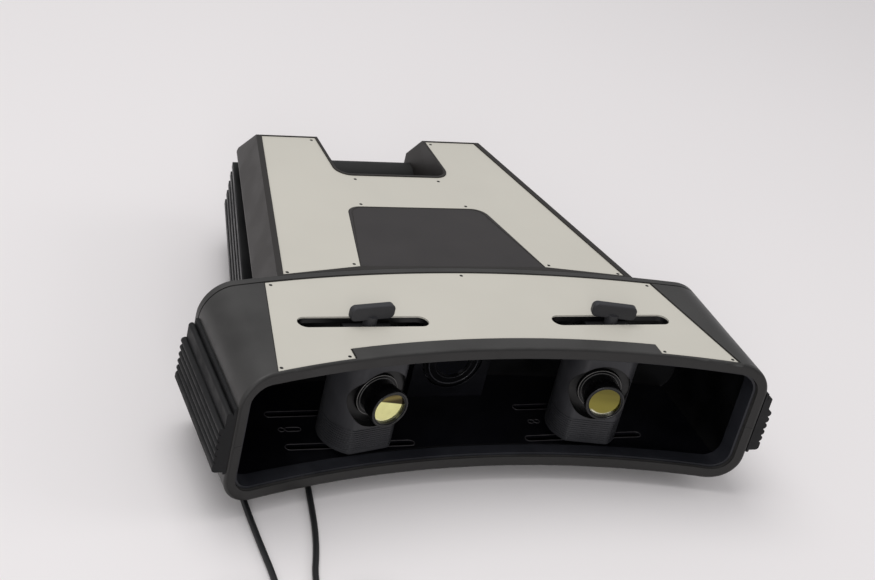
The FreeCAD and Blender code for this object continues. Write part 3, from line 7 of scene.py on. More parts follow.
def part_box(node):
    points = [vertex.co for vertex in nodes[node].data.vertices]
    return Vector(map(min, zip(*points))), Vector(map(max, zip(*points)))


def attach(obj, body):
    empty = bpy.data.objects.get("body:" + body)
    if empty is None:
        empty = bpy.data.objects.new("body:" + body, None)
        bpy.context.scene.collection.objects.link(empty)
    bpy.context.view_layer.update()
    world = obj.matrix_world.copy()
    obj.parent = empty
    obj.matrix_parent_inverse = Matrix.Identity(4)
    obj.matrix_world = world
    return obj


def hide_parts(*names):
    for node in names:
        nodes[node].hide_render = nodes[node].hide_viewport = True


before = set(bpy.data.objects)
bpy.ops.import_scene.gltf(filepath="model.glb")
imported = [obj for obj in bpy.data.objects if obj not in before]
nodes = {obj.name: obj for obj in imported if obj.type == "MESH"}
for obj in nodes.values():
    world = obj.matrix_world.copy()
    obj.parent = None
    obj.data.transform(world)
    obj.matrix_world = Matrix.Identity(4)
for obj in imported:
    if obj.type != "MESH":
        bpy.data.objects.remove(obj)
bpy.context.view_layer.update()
print("frame loaded:", len(nodes), "nodes")


# A socket that can be used in plain arithmetic.
class Wire:
    def __init__(self, paint, socket):
        self.paint = paint
        self.socket = socket

    def join(self, kind, other, turned=False):
        pair = (other, self) if turned else (self, other)
        return self.paint.add("ShaderNodeMath", {"operation": kind}, {0: pair[0], 1: pair[1]})

    def __add__(self, other): return self.join("ADD", other)
    def __radd__(self, other): return self.join("ADD", other)
    def __sub__(self, other): return self.join("SUBTRACT", other)
    def __rsub__(self, other): return self.join("SUBTRACT", other, True)
    def __mul__(self, other): return self.join("MULTIPLY", other)
    def __rmul__(self, other): return self.join("MULTIPLY", other)
    def __truediv__(self, other): return self.join("DIVIDE", other)
    def __gt__(self, other): return self.join("GREATER_THAN", other)
    def __lt__(self, other): return self.join("LESS_THAN", other)
    def __pow__(self, other): return self.join("POWER", other)
    def orMore(self, low): return self.join("MAXIMUM", low)
    def sine(self): return self.paint.add("ShaderNodeMath", {"operation": "SINE"}, {0: self})
    def size(self): return self.paint.add("ShaderNodeMath", {"operation": "ABSOLUTE"}, {0: self})


# One material under construction: nodes are added by type, settings and inputs.
class Paint:
    def __init__(self, name, steady):
        self.material = bpy.data.materials.new(name)
        self.material.use_nodes = True
        self.tree = self.material.node_tree
        self.shader = self.tree.nodes["Principled BSDF"]
        for key, value in steady.items():
            self.shader.inputs[key].default_value = value

    def add(self, kind, settings=None, inputs=None, output=0):
        node = self.tree.nodes.new(kind)
        for key, value in (settings or {}).items():
            setattr(node, key, value)
        for key, value in (inputs or {}).items():
            if isinstance(value, Wire):
                self.tree.links.new(value.socket, node.inputs[key])
            else:
                node.inputs[key].default_value = value
        return Wire(self, node.outputs[output])

    def place(self):
        return self.add("ShaderNodeTexCoord", output="Object")

    def axis(self, place, letter):
        return self.add("ShaderNodeSeparateXYZ", inputs={0: place}, output="XYZ".index(letter))

    def noise(self, place, scale, detail=3.0, rough=0.55):
        return self.add("ShaderNodeTexNoise", inputs={"Vector": place, "Scale": scale, "Detail": detail,
                                                      "Roughness": rough})

    def cells(self, place, scale):
        return self.add("ShaderNodeTexVoronoi", {"feature": "F1"}, {"Vector": place, "Scale": scale})

    def spread(self, value, low, high, toLow=0.0, toHigh=1.0):
        return self.add("ShaderNodeMapRange", {"interpolation_type": "SMOOTHSTEP"},
                        {0: value, 1: low, 2: high, 3: toLow, 4: toHigh})

    # Slow change from 0 to 1 over the surface: noise, spread over its middle range.
    def cloud(self, place, scale, detail=4.0):
        return self.spread(self.noise(place, scale, detail), 0.3, 0.7)

    def grain(self, place, scale, detail=3.0):
        return self.noise(place, scale, detail, 0.6)

    def blend(self, share, first, second):
        node = self.tree.nodes.new("ShaderNodeMix")
        node.data_type = "RGBA"
        for key, value in ((0, share), (6, first), (7, second)):
            if isinstance(value, Wire):
                self.tree.links.new(value.socket, node.inputs[key])
            elif key == 0:
                node.inputs[0].default_value = value
            else:
                node.inputs[key].default_value = (*value, 1.0)
        return Wire(self, node.outputs[2])

    # Run along a direction: dot product of the direction and the way from the point.
    def along(self, place, point, direction):
        moved = self.add("ShaderNodeVectorMath", {"operation": "SUBTRACT"}, {0: place, 1: point})
        return self.add("ShaderNodeVectorMath", {"operation": "DOT_PRODUCT"}, {0: moved, 1: direction}, "Value")

    # Distance from an axis: what is left of the whole distance after the run along the axis.
    def offAxis(self, place, point, direction):
        moved = self.add("ShaderNodeVectorMath", {"operation": "SUBTRACT"}, {0: place, 1: point})
        whole = self.add("ShaderNodeVectorMath", {"operation": "LENGTH"}, {0: moved}, "Value")
        run = self.along(place, point, direction)
        return (whole * whole - run * run) ** 0.5

    # Normal rounded over the edges that lie within the radius.
    def softEdge(self, radius):
        return self.add("ShaderNodeBevel", {"samples": 4}, {"Radius": radius})

    def relief(self, height, strength, depth, under=None):
        inputs = {"Height": height, "Strength": strength, "Distance": depth}
        if under is not None:
            inputs["Normal"] = under
        return self.add("ShaderNodeBump", None, inputs)

    def feed(self, **wires):
        for key, wire in wires.items():
            self.tree.links.new(wire.socket, self.shader.inputs[key.replace("_", " ")])
        return self.material


# A colour as it looks on the screen, 0 to 255: each share of 255 to the power 2.2.
def tone(red, green, blue):
    return tuple((value / 255) ** 2.2 for value in (red, green, blue))


def scaled(colour, factor):
    return tuple(factor * value for value in colour)


def dress(material, *names):
    for name in names:
        node = nodes[name]
        node.data.materials.clear()
        node.data.materials.append(material)


# Camera and light.
cameraFacts = {
    "place": (-0.60389, -1.19534, 0.82170),
    "right": (0.915643638, -0.340563310, 0.213572846),
    "down": (0.000847115, -0.529651823, -0.848214730),
    "ahead": (0.401990063, 0.776843342, -0.484683826),
    "focalPixels": 1738.6,
    "widthPixels": 875,
    "sensor": 36.0,
}


def makeCamera(facts):
    data = bpy.data.cameras.new("viewCamera")
    data.sensor_width = facts["sensor"]
    data.lens = facts["focalPixels"] * facts["sensor"] / facts["widthPixels"]
    data.clip_end = 50
    camera = bpy.data.objects.new("viewCamera", data)
    bpy.context.scene.collection.objects.link(camera)
    right, down, ahead = (Vector(facts[key]) for key in ("right", "down", "ahead"))
    turn = Matrix((right, -down, -ahead)).transposed().to_4x4()
    camera.matrix_world = Matrix.Translation(facts["place"]) @ turn
    bpy.context.scene.camera = camera
    return camera


lightFacts = {
    "world": (0.93, 0.93, 0.95), "worldStrength": 0.46,
    "lamps": [
        {"name": "overheadSoft", "place": (-0.5, 0.4, 2.6), "target": (0, 0, 0), "size": 2.4, "power": 34},
        {"name": "frontSoft", "place": (-1.1, -2.6, 1.2), "target": (0, -0.1, 0.05), "size": 1.2, "power": 21},
        {"name": "sideSoft", "place": (2.2, -0.6, 1.6), "target": (0, 0, 0.05), "size": 1.4, "power": 7},
    ],
    "floorTone": (240, 236, 236), "floorBounce": 0.40, "floorReach": 8.0,
    "floorCloud": 0.7, "floorShade": 0.985,
}


def makeLight(facts):
    world = bpy.data.worlds.new("studio")
    bpy.context.scene.world = world
    world.use_nodes = True
    sky = world.node_tree.nodes["Background"]
    sky.inputs[0].default_value = (*facts["world"], 1.0)
    sky.inputs[1].default_value = facts["worldStrength"]
    for lamp in facts["lamps"]:
        data = bpy.data.lights.new(lamp["name"], "AREA")
        data.shape = "DISK"
        data.size = lamp["size"]
        data.energy = lamp["power"]
        item = bpy.data.objects.new(lamp["name"], data)
        bpy.context.scene.collection.objects.link(item)
        item.location = lamp["place"]
        aim = Vector(lamp["target"]) - Vector(lamp["place"])
        item.rotation_euler = aim.to_track_quat("-Z", "Y").to_euler()


# Level floor: its own pale tone for the camera, mirrors and glass, and for all other rays that tone
# times the bounce, so that it throws less light up at the object.
def makeFloor(facts):
    reach = facts["floorReach"]
    mesh = bpy.data.meshes.new("floor")
    mesh.from_pydata([(-reach, -reach, 0), (reach, -reach, 0), (reach, reach, 0), (-reach, reach, 0)],
                     [], [(0, 1, 2, 3)])
    floor = bpy.data.objects.new("floor", mesh)
    bpy.context.scene.collection.objects.link(floor)
    paint = Paint("paleFloor", {"Roughness": 0.85, "Specular IOR Level": 0.2})
    cloud = paint.cloud(paint.place(), facts["floorCloud"], 2.0)
    shade = tone(*facts["floorTone"])
    seen = paint.blend(cloud, scaled(shade, facts["floorShade"]), shade)
    rays = [paint.add("ShaderNodeLightPath", output=name)
            for name in ("Is Camera Ray", "Is Glossy Ray", "Is Transmission Ray")]
    direct = paint.spread(rays[0] + rays[1] + rays[2], 0.0, 1.0)
    paint.feed(Base_Color=paint.blend(direct, scaled(shade, facts["floorBounce"]), seen))
    mesh.materials.append(paint.material)


makeCamera(cameraFacts)
makeLight(lightFacts)
makeFloor(lightFacts)
bpy.context.scene.view_settings.view_transform = "Standard"
print("camera and light placed")

# Leads: the listed routes, then neat coils.
leadFacts = {
    "diameter": 0.005, "length": 1.8, "turnGap": 0.0006, "inwardHalves": 6, "stepsPerHalf": 7,
    "powerRoute": [(-90.0, 224.0, 50.0), (-90.0, 224.0, 24.5), (-90.5, 200.0, 2.5), (-92.5, 148.0, 2.5),
                   (-104.0, 88.0, 2.5), (-132.0, 25.0, 2.5), (-165.0, -36.0, 2.5), (-190.0, -100.0, 2.5),
                   (-201.4, -165.0, 2.5), (-202.8, -232.0, 2.5), (-202.4, -289.0, 2.5), (-208.0, -334.0, 2.5)],
    "dataRoute": [(-70.0, 226.0, 50.0), (-70.0, 226.0, 24.5), (-70.0, 202.0, 2.5), (-69.0, 151.0, 2.5),
                  (-70.5, 90.0, 2.5), (-79.0, 30.0, 2.5), (-96.0, -30.0, 2.5), (-118.0, -83.0, 2.5),
                  (-138.5, -132.0, 2.5), (-147.2, -187.0, 2.5), (-158.0, -243.0, 2.5), (-175.5, -292.0, 2.5),
                  (-173.5, -340.0, 2.5)],
    "powerCoil": {"radius": 0.03384, "side": -1},
    "dataCoil": {"radius": 0.03378, "side": 1},
    "roundSteps": 5, "lengthSteps": 6,
    "tones": ((22, 22, 24), (34, 34, 36)), "cloudScale": 60.0, "fineScale": 1800.0, "rough": (0.42, 0.55),
}


# Coil points: each half turn goes from its start across to twice its radius while it bulges sideways,
# place = middle - cos(angle) * half across + sin(angle) * bulge, drawn out a little so that the smooth
# line passes at the true radius; radii shrink by half a pitch per half turn, then grow again one layer up.
def coilPoints(start, heading, coil, facts):
    pitch = facts["diameter"] + facts["turnGap"]
    inward = facts["inwardHalves"]
    steps = [-index for index in range(inward + 1)] + [index - inward for index in range(1, inward + 2)]
    forward = np.array([heading[0], heading[1], 0.0])
    left = np.array([-heading[1], heading[0], 0.0])
    place = np.array(start) + forward * facts["diameter"]
    count = facts["stepsPerHalf"]
    angles = (np.arange(count) + 0.5) * math.pi / count
    stretch = 1 / math.cos(math.pi / count / 2)
    side, bulgeSign = coil["side"], 1
    points = []
    for index, step in enumerate(steps):
        radius = coil["radius"] + step * pitch / 2
        rise = pitch if index == inward else 0.0
        across = left * side * 2 * radius + np.array([0, 0, rise])
        bulge = forward * bulgeSign * np.linalg.norm(across) / 2
        middle = place + across / 2
        ring = middle + stretch * (-np.cos(angles)[:, None] * across / 2 + np.sin(angles)[:, None] * bulge)
        points.extend(ring)
        place = place + across
        side, bulgeSign = -side, -bulgeSign
    points.append(place + forward * bulgeSign * facts["diameter"])
    return points


def makeLead(name, route, coil, facts, replaced, material):
    points = [np.array(point) / 1000 for point in route]
    heading = points[-1] - points[-2]
    heading = heading / np.linalg.norm(heading)
    points.extend(coilPoints(points[-1], heading, coil, facts))
    curve = bpy.data.curves.new(name, "CURVE")
    curve.dimensions = "3D"
    curve.bevel_depth = facts["diameter"] / 2
    curve.bevel_resolution = facts["roundSteps"]
    curve.resolution_u = facts["lengthSteps"]
    curve.use_fill_caps = True
    spline = curve.splines.new("NURBS")
    spline.points.add(len(points) - 1)
    flat = np.ones((len(points), 4))
    flat[:, :3] = points
    spline.points.foreach_set("co", flat.ravel())
    spline.order_u = 3
    spline.use_endpoint_u = True
    curve.materials.append(material)
    lead = bpy.data.objects.new(name, curve)
    bpy.context.scene.collection.objects.link(lead)
    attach(lead, "scanner")
    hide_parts(*replaced)
    return lead


# Sheath of the leads: black with a slow change of tone and gloss, and a very fine grain.
def leadPaint(facts):
    paint = Paint("leadSheath", {"Specular IOR Level": 0.45})
    place = paint.place()
    cloud = paint.noise(place, facts["cloudScale"])
    fine = paint.noise(place, facts["fineScale"], 2.0)
    return paint.feed(Base_Color=paint.blend(cloud, *(tone(*colour) for colour in facts["tones"])),
                      Roughness=paint.spread(cloud, 0.3, 0.7, *facts["rough"]),
                      Normal=paint.relief(fine, 0.25, 0.0001))


sheath = leadPaint(leadFacts)
makeLead("powerLeadRun", leadFacts["powerRoute"], leadFacts["powerCoil"], leadFacts,
         ("power_lead", "power_lead_coil"), sheath)
makeLead("dataLeadRun", leadFacts["dataRoute"], leadFacts["dataCoil"], leadFacts,
         ("data_lead", "data_lead_coil"), sheath)
print("leads laid")


# Puts points and four-cornered faces into a new mesh; the enclosed volume tells whether the faces
# look outward, and they are turned over if it is negative.
def putPiece(name, points, faces, body, material, smooth=True):
    first, second, third, fourth = (points[faces[:, index]] for index in range(4))
    volume = (first * np.cross(second, third)).sum() + (first * np.cross(third, fourth)).sum()
    if volume < 0:
        faces = faces[:, ::-1]
    mesh = bpy.data.meshes.new(name)
    mesh.from_pydata(points.tolist(), [], faces.tolist())
    mesh.polygons.foreach_set("use_smooth", [smooth] * len(faces))
    mesh.materials.append(material)
    piece = bpy.data.objects.new(name, mesh)
    bpy.context.scene.collection.objects.link(piece)
    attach(piece, body)
    return piece


# Faces of a grid of points that closes on itself both ways.
def wrapFaces(rows, columns):
    row, column = np.meshgrid(np.arange(rows), np.arange(columns), indexing="ij")
    nextRow, nextColumn = (row + 1) % rows, (column + 1) % columns
    return np.stack([row * columns + column, nextRow * columns + column, nextRow * columns + nextColumn,
                     row * columns + nextColumn], axis=-1).reshape(-1, 4)


# A closed profile carried along a closed level path: point = path + outward * a + up * b, where outward
# is the mean of the two neighbouring edge normals, lengthened at corners so that the width holds.
def carryRound(path, profile):
    ahead = np.roll(path, -1, axis=0) - path
    ahead = ahead / np.linalg.norm(ahead, axis=1)[:, None]
    normal = np.stack([ahead[:, 1], -ahead[:, 0]], axis=1)
    before = np.roll(normal, 1, axis=0)
    middle = normal + before
    middle = middle / np.linalg.norm(middle, axis=1)[:, None]
    middle = middle / np.maximum((middle * normal).sum(axis=1), 0.5)[:, None]
    flat = path[:, None, :2] + middle[:, None, :] * profile[None, :, :1]
    height = np.broadcast_to(path[:, 2:3] + profile[None, :, 1], flat.shape[:2])
    return np.concatenate([flat, height[:, :, None]], axis=2)


# Points of an ellipse: cosine and sine of equal angles times the two half widths, about a middle.
def ovalProfile(middle, halves, count=10):
    angles = np.arange(count) * 2 * math.pi / count
    return np.stack([middle[0] + halves[0] * np.cos(angles), middle[1] + halves[1] * np.sin(angles)], axis=1)


# A row of circles about an axis: point = origin + ahead * distance + (level * cos + up * sin) * radius.
def turnRound(profile, origin, ahead, count=72):
    angles = np.arange(count) * 2 * math.pi / count
    ahead = np.array(ahead)
    level = np.array([-ahead[1], ahead[0], 0.0])
    spoke = np.cos(angles)[:, None] * level + np.sin(angles)[:, None] * np.array([0.0, 0.0, 1.0])
    return (np.array(origin) + spoke[:, None, :] * profile[None, :, :1]
            + ahead[None, None, :] * profile[None, :, 1:2])


# Counter-clockwise outline of a slit: two half circles joined by straight sides.
def slitPath(middle, place, reach, width, height, count=12):
    radius = width / 2
    half = reach / 2 - radius
    angles = np.linspace(-math.pi / 2, math.pi / 2, count)
    right = np.stack([middle + half + radius * np.cos(angles), place + radius * np.sin(angles)], axis=1)
    left = np.stack([middle - half - radius * np.cos(angles), place - radius * np.sin(angles)], axis=1)
    flat = np.concatenate([right, left])
    return np.concatenate([flat, np.full((len(flat), 1), height)], axis=1) / 1000


trimFacts = {
    "slits": {"slitFrontLeft": (-106.0, -152.197, 110.0, 6.5), "slitFrontRight": (106.0, -152.197, 110.0, 6.5),
              "slitRearLeft": (-112.0, -107.697, 108.0, 6.5), "slitRearRight": (112.0, -107.697, 108.0, 6.5),
              "dashLeft": (-148.3, -128.697, 12.6, 4.4), "dotLeft": (-158.0, -128.697, 4.42, 4.4),
              "dotInner": (65.8, -128.697, 4.42, 4.4), "dotOuter": (71.4, -128.697, 4.42, 4.4)},
    "floorTop": 24.0, "trimMiddle": (0.00045, 0.00008), "trimHalves": (0.00042, 0.00030),
    "beadMiddle": (-0.00035, 0.00005), "beadHalves": (0.00042, 0.00030), "plateTop": 130.0,
    "hoodFront": (739.8, -912.922), "hoodMiddleFront": (752.7, -912.922), "hoodRear": (966.0, -1025.537),
    "hoodHalves": (133.0, 200.0, 176.2), "arcSteps": (12, 30, 40),
    "centreCorners": (85.7, -50.04, 64.7, 51.45, 14.0), "cornerSteps": 9,
    "rimHighlightTones": ((52, 50, 52), (68, 66, 68)), "rimRough": 0.34,
    "beadTones": ((34, 32, 30), (46, 43, 40)), "beadRough": 0.5,
    "cloudScale": 140.0, "grainScale": 2400.0, "roughSpread": 0.12,
}


# Points of a level arc about (0, middle): y = middle + square root of (radius squared - x squared).
def arcRow(first, last, arc, count):
    x = np.linspace(first, last, count)
    return np.stack([x, arc[1] + np.sqrt(arc[0] ** 2 - x ** 2)], axis=1)


# Counter-clockwise outlines: the light hood plate between its arcs, and the dark centre plate, whose
# rear corners are quarter circles.
def platePaths(facts):
    step, front, rear = facts["hoodHalves"]
    fewSteps, someSteps, manySteps = facts["arcSteps"]
    hood = np.concatenate([arcRow(-front, -step, facts["hoodFront"], fewSteps),
                           arcRow(-step, step, facts["hoodMiddleFront"], someSteps),
                           arcRow(step, front, facts["hoodFront"], fewSteps),
                           arcRow(rear, -rear, facts["hoodRear"], manySteps)])
    wide, low, narrow, high, radius = facts["centreCorners"]
    angles = np.linspace(0.0, math.pi / 2, facts["cornerSteps"])
    corner = np.stack([narrow - radius + radius * np.cos(angles),
                       high - radius + radius * np.sin(angles)], axis=1)
    centre = np.concatenate([[[-wide, low], [wide, low]], corner, corner[::-1] * np.array([-1.0, 1.0])])
    return {"hoodPlateSeam": hood, "centrePlateSeam": centre}


# Smooth edge trim: tone and gloss both follow one cloud.
def trimPaint(name, dark, pale, roughness):
    paint = Paint(name, {"Specular IOR Level": 0.45})
    place = paint.place()
    cloud = paint.cloud(place, trimFacts["cloudScale"])
    roughest = roughness + trimFacts["roughSpread"]
    return paint.feed(Base_Color=paint.blend(cloud, dark, pale),
                      Roughness=paint.spread(cloud, 0.0, 1.0, roughness, roughest),
                      Normal=paint.relief(paint.noise(place, trimFacts["grainScale"]), 0.15, 0.00005))


# Slit rims: thin pale tubes round each slit, a bare metal edge whose pale tone is partly a painted highlight of
# the lit slot edges; seam beads: dark lines round the light plates.
def makeTrims(facts):
    rimHighlightPaint = trimPaint("slitRimHighlight", *(tone(*colour) for colour in facts["rimHighlightTones"]), facts["rimRough"])
    beadPaint = trimPaint("seamBead", *(tone(*colour) for colour in facts["beadTones"]), facts["beadRough"])
    # Pale slit rims: bare edges, partly a painted highlight.
    for name, (middle, place, reach, width) in facts["slits"].items():
        path = slitPath(middle, place, reach, width, facts["floorTop"])
        grid = carryRound(path, ovalProfile(facts["trimMiddle"], facts["trimHalves"]))
        putPiece(name, grid.reshape(-1, 3), wrapFaces(*grid.shape[:2]), "scanner", rimHighlightPaint)
    for name, flat in platePaths(facts).items():
        path = np.concatenate([flat, np.full((len(flat), 1), facts["plateTop"])], axis=1) / 1000
        grid = carryRound(path, ovalProfile(facts["beadMiddle"], facts["beadHalves"]))
        putPiece(name, grid.reshape(-1, 3), wrapFaces(*grid.shape[:2]), "scanner", beadPaint)


makeTrims(trimFacts)
print("slit rims and seam beads made")


# Numbers that the finishes share: noise scales per metre, the spans over which a mask rises, and shares.
finishFacts = {
    "wearGrain": 0.3, "wearSpan": (0.2, 1.1), "bodyCloud": 22.0,
    "speckScale": 900.0, "speckSpan": (0.66, 0.76), "speckLift": 1.5, "speckShare": 0.35,
    "pitScale": 0.6, "grainShare": 0.7, "pitShare": 0.3, "reliefDepth": 0.0002, "softEdge": 0.0006,
}


# Roughness goes through its span as the cloud, and a little of the grain, rise.
def wornRoughness(paint, cloud, grain, span):
    return paint.spread(cloud + grain * finishFacts["wearGrain"], *finishFacts["wearSpan"], *span)


# Sparse specks over a body colour, paler by the lift.
def speckle(paint, place, body, pale, share):
    speck = paint.spread(paint.noise(place, finishFacts["speckScale"], 1.0), *finishFacts["speckSpan"])
    return paint.blend(speck * share, body, scaled(pale, finishFacts["speckLift"]))


# Each moulded finish: dark and pale tone, scale and strength of the grain, span of roughness, nodes.
mouldedFacts = {
    "casingPlastic": {"tones": ((37, 34, 32), (42, 39, 37)), "grain": (1500.0, 0.35), "rough": (0.46, 0.53),
                      "nodes": ("body_upper_case", "body_lower_case")},
    "centrePlate": {"tones": ((46, 43, 43), (53, 50, 50)), "grain": (2400.0, 0.2), "rough": (0.40, 0.50),
                    "nodes": ("centre_panel",)},
    "linerSlate": {"tones": ((33, 34, 38), (42, 43, 48)), "grain": (1900.0, 0.2), "rough": (0.38, 0.50),
                   "nodes": ("opening_liner",)},
    "blackFloorPlate": {"tones": ((12, 12, 16), (19, 19, 24)), "grain": (2200.0, 0.2), "rough": (0.30, 0.42),
                        "nodes": ("slotted_floor_plate", "base_plate", "projector_shroud")},
    "rearBlack": {"tones": ((28, 28, 29), (37, 37, 38)), "grain": (1600.0, 0.3), "rough": (0.45, 0.60),
                  "nodes": ("rear_panel_left", "rear_panel_right", "fan_frame", "fan_rotor")},
    "carriagePlastic": {"tones": ((20, 20, 22), (28, 28, 31)), "grain": (1700.0, 0.3), "rough": (0.40, 0.55),
                        "nodes": ("camera_carriage_left", "camera_carriage_right")},
    "clampPlastic": {"tones": ((44, 44, 47), (54, 54, 57)), "grain": (1500.0, 0.35), "rough": (0.42, 0.56),
                     "nodes": ("clamp_handle_left", "clamp_handle_right")},
    "socketPlastic": {"tones": ((18, 18, 19), (27, 27, 28)), "grain": (1800.0, 0.2), "rough": (0.35, 0.5),
                      "nodes": ("power_inlet", "power_rocker")},
}


# Moulded plastic: cloudy tone with sparse specks; height = grain * its share + pits * their share.
def mouldedPaint(name, look, facts):
    paint = Paint(name, {"Specular IOR Level": 0.4})
    place = paint.place()
    dark, pale = (tone(*colour) for colour in look["tones"])
    grainScale, strength = look["grain"]
    cloud = paint.cloud(place, facts["bodyCloud"])
    grain = paint.grain(place, grainScale)
    pits = paint.cells(place, grainScale * facts["pitScale"])
    body = speckle(paint, place, paint.blend(cloud, dark, pale), pale, facts["speckShare"])
    height = grain * facts["grainShare"] + pits * facts["pitShare"]
    normal = paint.relief(height, strength, facts["reliefDepth"], paint.softEdge(facts["softEdge"]))
    return paint.feed(Base_Color=body, Roughness=wornRoughness(paint, cloud, grain, look["rough"]),
                      Normal=normal)


hoodFacts = {
    "half": 0.229, "cornerRadius": 0.027, "middleHeight": 0.0725, "halfHeight": 0.0585,
    "frontMiddle": (0.0, -0.912922, 0.0725), "frontRadius": 0.7371, "rimReach": 0.0165, "faceReach": 0.0022,
    "rearMiddle": (0.0, -1.025537, 0.0725), "rearRadius": 0.9706, "skin": 0.0018,
    "tones": ((52, 51, 50), (60, 59, 58)), "insideTones": ((9, 9, 10), (15, 15, 17)), "rimShadeShare": 0.5,
    "jointHeight": 0.071, "jointHalf": 0.0007, "jointShare": 0.8, "jointTone": (16, 16, 17),
    "grainScale": 1500.0, "grainShare": 0.3, "speckShare": 0.3, "rough": (0.36, 0.48),
    "relief": (0.6, 0.0004), "softEdge": 0.0007,
}


# Hood plastic: depth under the rounded outer skin is the corner radius less the length of the two
# overridden corner overshoots past the corner centres. Black where that depth is more than the skin, behind the
# rim and ahead of the rear wall; painted shade makes the rim's own front face darker. A dark line marks the
# level joint of the two shells.
def hoodPaint(facts):
    paint = Paint("hoodPlastic", {"Specular IOR Level": 0.4})
    place = paint.place()
    dark, pale = (tone(*colour) for colour in facts["tones"])
    wide = (paint.axis(place, "X").size() - (facts["half"] - facts["cornerRadius"])).orMore(0.0)
    height = (paint.axis(place, "Z") - facts["middleHeight"]).size()
    tall = (height - (facts["halfHeight"] - facts["cornerRadius"])).orMore(0.0)
    depth = facts["cornerRadius"] - (wide * wide + tall * tall) ** 0.5
    upright = (0.0, 0.0, 1.0)
    behind = paint.offAxis(place, facts["frontMiddle"], upright) - facts["frontRadius"]
    rear = paint.offAxis(place, facts["rearMiddle"], upright) < facts["rearRadius"]
    inside = (depth > facts["skin"]) * (behind > facts["rimReach"]) * rear
    # Painted shade: the rim's own front face is darker.
    paintedRimShade = paint.spread(behind, facts["faceReach"], 0.0)
    cloud = paint.cloud(place, finishFacts["bodyCloud"])
    grain = paint.grain(place, facts["grainScale"])
    body = speckle(paint, place, paint.blend(cloud, dark, pale), pale, facts["speckShare"])
    body = paint.blend(paintedRimShade, body, scaled(dark, facts["rimShadeShare"]))
    offJoint = (paint.axis(place, "Z") - facts["jointHeight"]).size()
    joint = paint.spread(offJoint, 0.0, facts["jointHalf"], 1.0, 0.0)
    body = paint.blend(joint * facts["jointShare"], body, tone(*facts["jointTone"]))
    black = paint.blend(cloud, *(tone(*colour) for colour in facts["insideTones"]))
    normal = paint.relief(grain * facts["grainShare"] - joint, *facts["relief"],
                          paint.softEdge(facts["softEdge"]))
    return paint.feed(Base_Color=paint.blend(inside, body, black),
                      Roughness=wornRoughness(paint, cloud, grain, facts["rough"]), Normal=normal)


# The fins' dark tone is painted shade for the valleys between them.
finFacts = {
    "taper": 0.2, "valley": 0.1614, "tip": 0.1632, "dark": (13, 13, 14), "tones": ((38, 38, 39), (50, 50, 51)),
    "cloudScale": 24.0, "grainScale": 1600.0, "rough": (0.42, 0.58), "relief": (0.25, 0.0002),
    "softEdge": 0.0005,
}


# Fins: the run out from the middle, plus the taper times the run back, tells how far out a place lies
# on the tapering side; black in the valleys as painted shade, grey on the outer edges.
def finPaint(facts):
    paint = Paint("finPlastic", {"Specular IOR Level": 0.35})
    place = paint.place()
    out = paint.axis(place, "X").size() + paint.axis(place, "Y") * facts["taper"]
    tip = paint.spread(out, facts["valley"], facts["tip"])
    cloud = paint.cloud(place, facts["cloudScale"])
    grain = paint.grain(place, facts["grainScale"])
    grey = paint.blend(cloud, *(tone(*colour) for colour in facts["tones"]))
    # Painted shade: the fin valleys are black, the outer edges grey.
    return paint.feed(Base_Color=paint.blend(tip, tone(*facts["dark"]), grey),
                      Roughness=wornRoughness(paint, cloud, grain, facts["rough"]),
                      Normal=paint.relief(grain, *facts["relief"], paint.softEdge(facts["softEdge"])))


podFacts = {
    "tones": ((46, 46, 49), (58, 58, 61)), "cloudScale": 24.0, "grainScale": 1700.0, "rough": (0.40, 0.55),
    "relief": (0.22, 0.0002), "softEdge": 0.0005,
    "recessRadius": 0.0263, "recessBack": 0.0125, "recessTone": (5, 5, 6), "recessGloss": 0.05,
}


# Pod plastic: moulded grey outside, and glossier black inside the round recess about the lens.
def podPaint(name, middle, ahead, facts):
    paint = Paint(name, {"Specular IOR Level": 0.45})
    place = paint.place()
    cloud = paint.cloud(place, facts["cloudScale"])
    grain = paint.grain(place, facts["grainScale"])
    inside = (paint.offAxis(place, middle, ahead) < facts["recessRadius"]) * (
        paint.along(place, middle, ahead) > facts["recessBack"])
    grey = paint.blend(cloud, *(tone(*colour) for colour in facts["tones"]))
    rough = wornRoughness(paint, cloud, grain, facts["rough"]) - inside * facts["recessGloss"]
    return paint.feed(Base_Color=paint.blend(inside, grey, tone(*facts["recessTone"])), Roughness=rough,
                      Normal=paint.relief(grain, *facts["relief"], paint.softEdge(facts["softEdge"])))


plateFacts = {
    "tone": (204, 200, 189), "broadScale": 7.0, "broadShade": 0.955,
    "grainScale": 2600.0, "grainShade": 0.85, "grainShare": 0.10,
    "markScale": 38.0, "markSpan": (0.60, 0.78), "markGrain": 0.2, "rough": (0.42, 0.33),
    "relief": (0.12, 0.0001), "softEdge": 0.0004,
}


# Light plates: painted sheet with a broad change of tone, a fine even grain and faint handling marks.
def platePaint(facts):
    paint = Paint("lightPlate", {"Specular IOR Level": 0.42})
    place = paint.place()
    base = tone(*facts["tone"])
    broad = paint.cloud(place, facts["broadScale"], 3.0)
    grain = paint.grain(place, facts["grainScale"], 2.0)
    marks = paint.spread(paint.noise(place, facts["markScale"], 6.0, 0.7), *facts["markSpan"])
    body = paint.blend(broad, base, scaled(base, facts["broadShade"]))
    body = paint.blend(grain * facts["grainShare"], body, scaled(base, facts["grainShade"]))
    return paint.feed(Base_Color=body,
                      Roughness=paint.spread(marks + grain * facts["markGrain"], 0.0, 1.2, *facts["rough"]),
                      Normal=paint.relief(grain, *facts["relief"], paint.softEdge(facts["softEdge"])))


